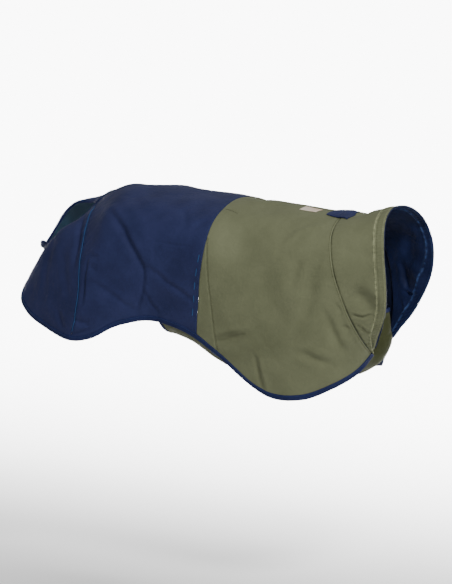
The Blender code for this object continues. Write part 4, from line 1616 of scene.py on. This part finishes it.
class FlapRow(NamedTuple):
    """The flap's rear and front edges at one distance from the spine."""

    from_spine: float
    rear: float
    front: float


FLAP = (
    # from_spine, rear, front
    FlapRow(0.000, -0.0272, 0.0125),
    FlapRow(0.010, -0.0272, 0.0150),
    FlapRow(0.0185, -0.0262, 0.0162),
    FlapRow(0.0225, -0.0160, 0.0166),
    FlapRow(0.0255, 0.0040, 0.0164),
    FlapRow(0.029, 0.0105, 0.0160),
    FlapRow(0.034, 0.0140, 0.0156),
)


@dataclass(frozen=True)
class Trim:
    """The small pieces on the back: the flap over the leash opening, the label, and the tail tab."""

    workshop: Workshop
    flap_tip: float = 0.0012
    flap_cut: Cut = Cut((0.045, 0.070), Held.LAID, "front_panel_cloth", 0.0021)
    label_middle: float = -0.0615
    label_half: tuple[float, float] = (0.0145, 0.0125)
    label_cut: Cut = Cut((0.029, 0.025), Held.LAID, "front_panel_cloth")
    tab_middle: Triple = (-0.5366, -0.0050, -0.1102)
    tab_half: Triple = (0.0050, 0.0110, 0.0060)
    tab_bend: float = 1.45

    def on_back(self, x: Array, y: Array, off: Array) -> Array:
        """Points off above the top of the back, at x and y. Ahead of the seam they lie on the collar.

        Args:
            x: The place along the back, at each point.
            y: The place across it.
            off: The height above it.

        Returns:
            The points, one for each x and y.
        """
        tops = np.array([section.x_top for section in COAT])
        row = np.interp(-x, -tops, np.arange(len(COAT)))
        q = y / (3.0 * COAT[0].reach)
        behind = COAT_FORM.point(row, q, off)
        ahead = COLLAR_FORM.point(np.clip(x / COLLAR_FORM.rim_top[0], 0.0, 1.0), q, off)
        return np.where((x > 0.0)[..., None], ahead, behind)

    def flap(self) -> None:
        """The leash flap: it lies over the collar seam, narrows to a tip on each side and has turned edges.

        Its front edge runs further back on the far side.
        """
        front, across = net(np.linspace(1.0, 0.0, 41), np.linspace(-1.0, 1.0, 81))
        away, rear_edge, front_edge = np.array(FLAP).T
        beside = np.abs(across) * away[-1]
        start, end = np.interp(beside, away, rear_edge), np.interp(beside, away, front_edge)
        end = end - 0.45 * np.minimum(np.maximum(across, 0.0) * away[-1], 0.02)
        start = np.minimum(start, end - self.flap_tip)
        edge = np.maximum(np.abs(2.0 * front - 1.0), np.abs(across))
        off = 0.0008 + 0.0008 * (1.0 - edge**4) + 0.0008 * (1.0 - edge**16)
        off = off - 0.0012 * bell(front - 0.45 + 0.3 * np.abs(across), 0.0, 0.07) * (1.0 - across**4)
        points = self.on_back(start + front * (end - start), across * away[-1], off)
        self.workshop.cloth(
            "leash_flap_cloth", points, NAVY, "navy_shell", "leash_flap", self.flap_cut, 0.6 * (edge > 0.9)
        )

    def label(self) -> None:
        """The woven label, sewn flat on the back."""
        lengthwise, across = net(np.linspace(1.0, -1.0, 25), np.linspace(-1.0, 1.0, 33))
        edge = np.maximum(np.abs(lengthwise), np.abs(across))
        x = self.label_middle + self.label_half[0] * lengthwise
        points = self.on_back(x, self.label_half[1] * across, 0.0006 + 0.0005 * (1.0 - edge**10))
        finishes = (WOVEN_LABEL, WOVEN_LABEL)
        self.workshop.cloth("label_cloth", points, finishes, "label", "label", self.label_cut, wall=0.0004)

    def tab(self) -> None:
        """The tab behind the tail: webbing folded double, a rounded block of rings whose corners are soft."""
        angle = np.linspace(0.0, 2.0 * np.pi, 28, endpoint=False)
        along = np.linspace(-1.0, 1.0, 15)[:, None]
        girth = np.clip(1.0 - np.abs(along) ** 5, 0.05, 1.0) ** 0.5
        round_x, round_z = (
            np.sign(turned) * np.abs(turned) ** 0.6 for turned in (np.cos(angle), np.sin(angle))
        )
        (x, y, z), (deep, wide, high) = self.tab_middle, self.tab_half
        y = (y + wide * along) * np.ones_like(angle)
        back = x + self.tab_bend * np.maximum(-y, 0.0)
        loops = np.stack([back + deep * girth * round_x, y, z + high * girth * round_z], axis=-1)
        self.workshop.tube(
            "tail_tab_webbing", loops, EDGE_TAPE, "navy_binding", "thigh_right_cloth", "tail_tab"
        )

    def build(self) -> None:
        """Builds the flap, the label and the tab."""
        self.flap()
        self.label()
        self.tab()


class Lamp(NamedTuple):
    """A square soft light that looks at the jacket: angles in degrees as the camera's, metres, and watts."""

    name: str
    azimuth: float
    elevation: float
    distance: float
    size: float
    power: float


@dataclass(frozen=True)
class Studio:
    """A plain pale floor, soft light and the camera at the photograph's angle."""

    floor_height: float = -0.62
    floor_reach: float = 30.0
    azimuth: float = 28.0
    elevation: float = 14.0
    distance: float = 25.0
    sight: Triple = (-0.211, 0.0, -0.150)
    pixels_high: int = 584
    pixels_a_metre: float = 640.0
    sky: float = 0.50
    lamps: tuple[Lamp, ...] = (
        # name, azimuth, elevation, distance, size, power
        Lamp("key", 50.0, 45.0, 2.6, 0.5, 62.0),
        Lamp("back", 200.0, 50.0, 2.8, 1.5, 5.0),
    )
    sweep_power: float = 640.0
    sweep_behind: float = 3.3
    sweep_above: float = 1.2
    sweep_size: float = 4.6
    sweep_spread: float = 60.0

    def floor(self) -> None:
        """The floor: one square of matt paper, wider than the view."""
        mesh = bpy.data.meshes.new("floor")
        reach, height = self.floor_reach, self.floor_height
        signs = ((-1.0, -1.0), (1.0, -1.0), (1.0, 1.0), (-1.0, 1.0))
        mesh.from_pydata([(x * reach, y * reach, height) for x, y in signs], [], [(0, 1, 2, 3)])
        made = bpy.data.objects.new("floor", mesh)
        bpy.context.scene.collection.objects.link(made)
        paper = bpy.data.materials.new("matt paper, white")
        paper.use_nodes = True
        shader = paper.node_tree.nodes["Principled BSDF"]
        shader.inputs["Base Color"].default_value = linear("#FAFAFA")
        shader.inputs["Roughness"].default_value = 0.95
        shader.inputs["Specular IOR Level"].default_value = 0.1
        mesh.materials.append(paper)

    def direction(self, azimuth: float, elevation: float) -> Vector:
        """From the jacket toward a place at this azimuth and elevation, in degrees."""
        a, e = np.radians(azimuth), np.radians(elevation)
        return Vector((np.sin(a) * np.cos(e), -np.cos(a) * np.cos(e), np.sin(e)))

    def stand(
        self, data: bpy.types.ID, azimuth: float, elevation: float, distance: float
    ) -> bpy.types.Object:
        """Puts a light or a camera in the scene, so that it looks at the jacket.

        Args:
            data: The light or the camera.
            azimuth: Its direction round the jacket, in degrees.
            elevation: Its height above the horizon, in degrees.
            distance: How far away it is.

        Returns:
            Its object.
        """
        made = bpy.data.objects.new(data.name, data)
        back = self.direction(azimuth, elevation)
        made.location = Vector(self.sight) + distance * back
        made.rotation_mode = "QUATERNION"
        made.rotation_quaternion = (-back).to_track_quat("-Z", "Y")
        bpy.context.scene.collection.objects.link(made)
        return made

    def light(self, lamp: Lamp) -> bpy.types.Object:
        """Makes a light and puts it in its place.

        Args:
            lamp: Where it stands, how large and how bright it is.

        Returns:
            Its object.
        """
        data = bpy.data.lights.new(lamp.name, "AREA")
        data.shape = "SQUARE"
        data.size = lamp.size
        data.energy = lamp.power
        return self.stand(data, lamp.azimuth, lamp.elevation, lamp.distance)

    def sweep(self) -> None:
        """The light over the floor behind the jacket, which keeps the background pale."""
        made = self.light(Lamp("sweep", self.azimuth, 90.0, 1.0, self.sweep_size, self.sweep_power))
        away = self.direction(self.azimuth + 180.0, 0.0)
        made.location = Vector(self.sight) + self.sweep_behind * away + Vector((0.0, 0.0, self.sweep_above))
        made.data.spread = np.radians(self.sweep_spread)

    def camera(self) -> None:
        """The camera: a long lens far off, so that the picture is nearly parallel."""
        data = bpy.data.cameras.new("camera")
        data.lens = data.sensor_width * self.distance * self.pixels_a_metre / self.pixels_high
        data.clip_end = 100.0
        bpy.context.scene.camera = self.stand(data, self.azimuth, self.elevation, self.distance)

    def world(self) -> None:
        """A pale even sky."""
        world = bpy.data.worlds.new("studio")
        world.use_nodes = True
        sky = world.node_tree.nodes["Background"]
        sky.inputs["Color"].default_value = (1.0, 1.0, 1.0, 1.0)
        sky.inputs["Strength"].default_value = self.sky
        bpy.context.scene.world = world

    def build(self) -> None:
        """Sets up the floor, the lights, the sky and the camera."""
        self.floor()
        for lamp in self.lamps:
            self.light(lamp)
        self.sweep()
        self.world()
        self.camera()


def main() -> None:
    """Builds the studio and dresses the jacket, piece by piece."""
    logging.basicConfig(level=logging.INFO, format="%(message)s")
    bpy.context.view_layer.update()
    workshop = Workshop()
    Studio().build()
    for assembly in (Collar, Shell, Chest, CoatTapes, Stitching, Trim):
        assembly(workshop).build()
        LOG.info("%s done", assembly.__name__)


if __name__ == "__main__":
    main()
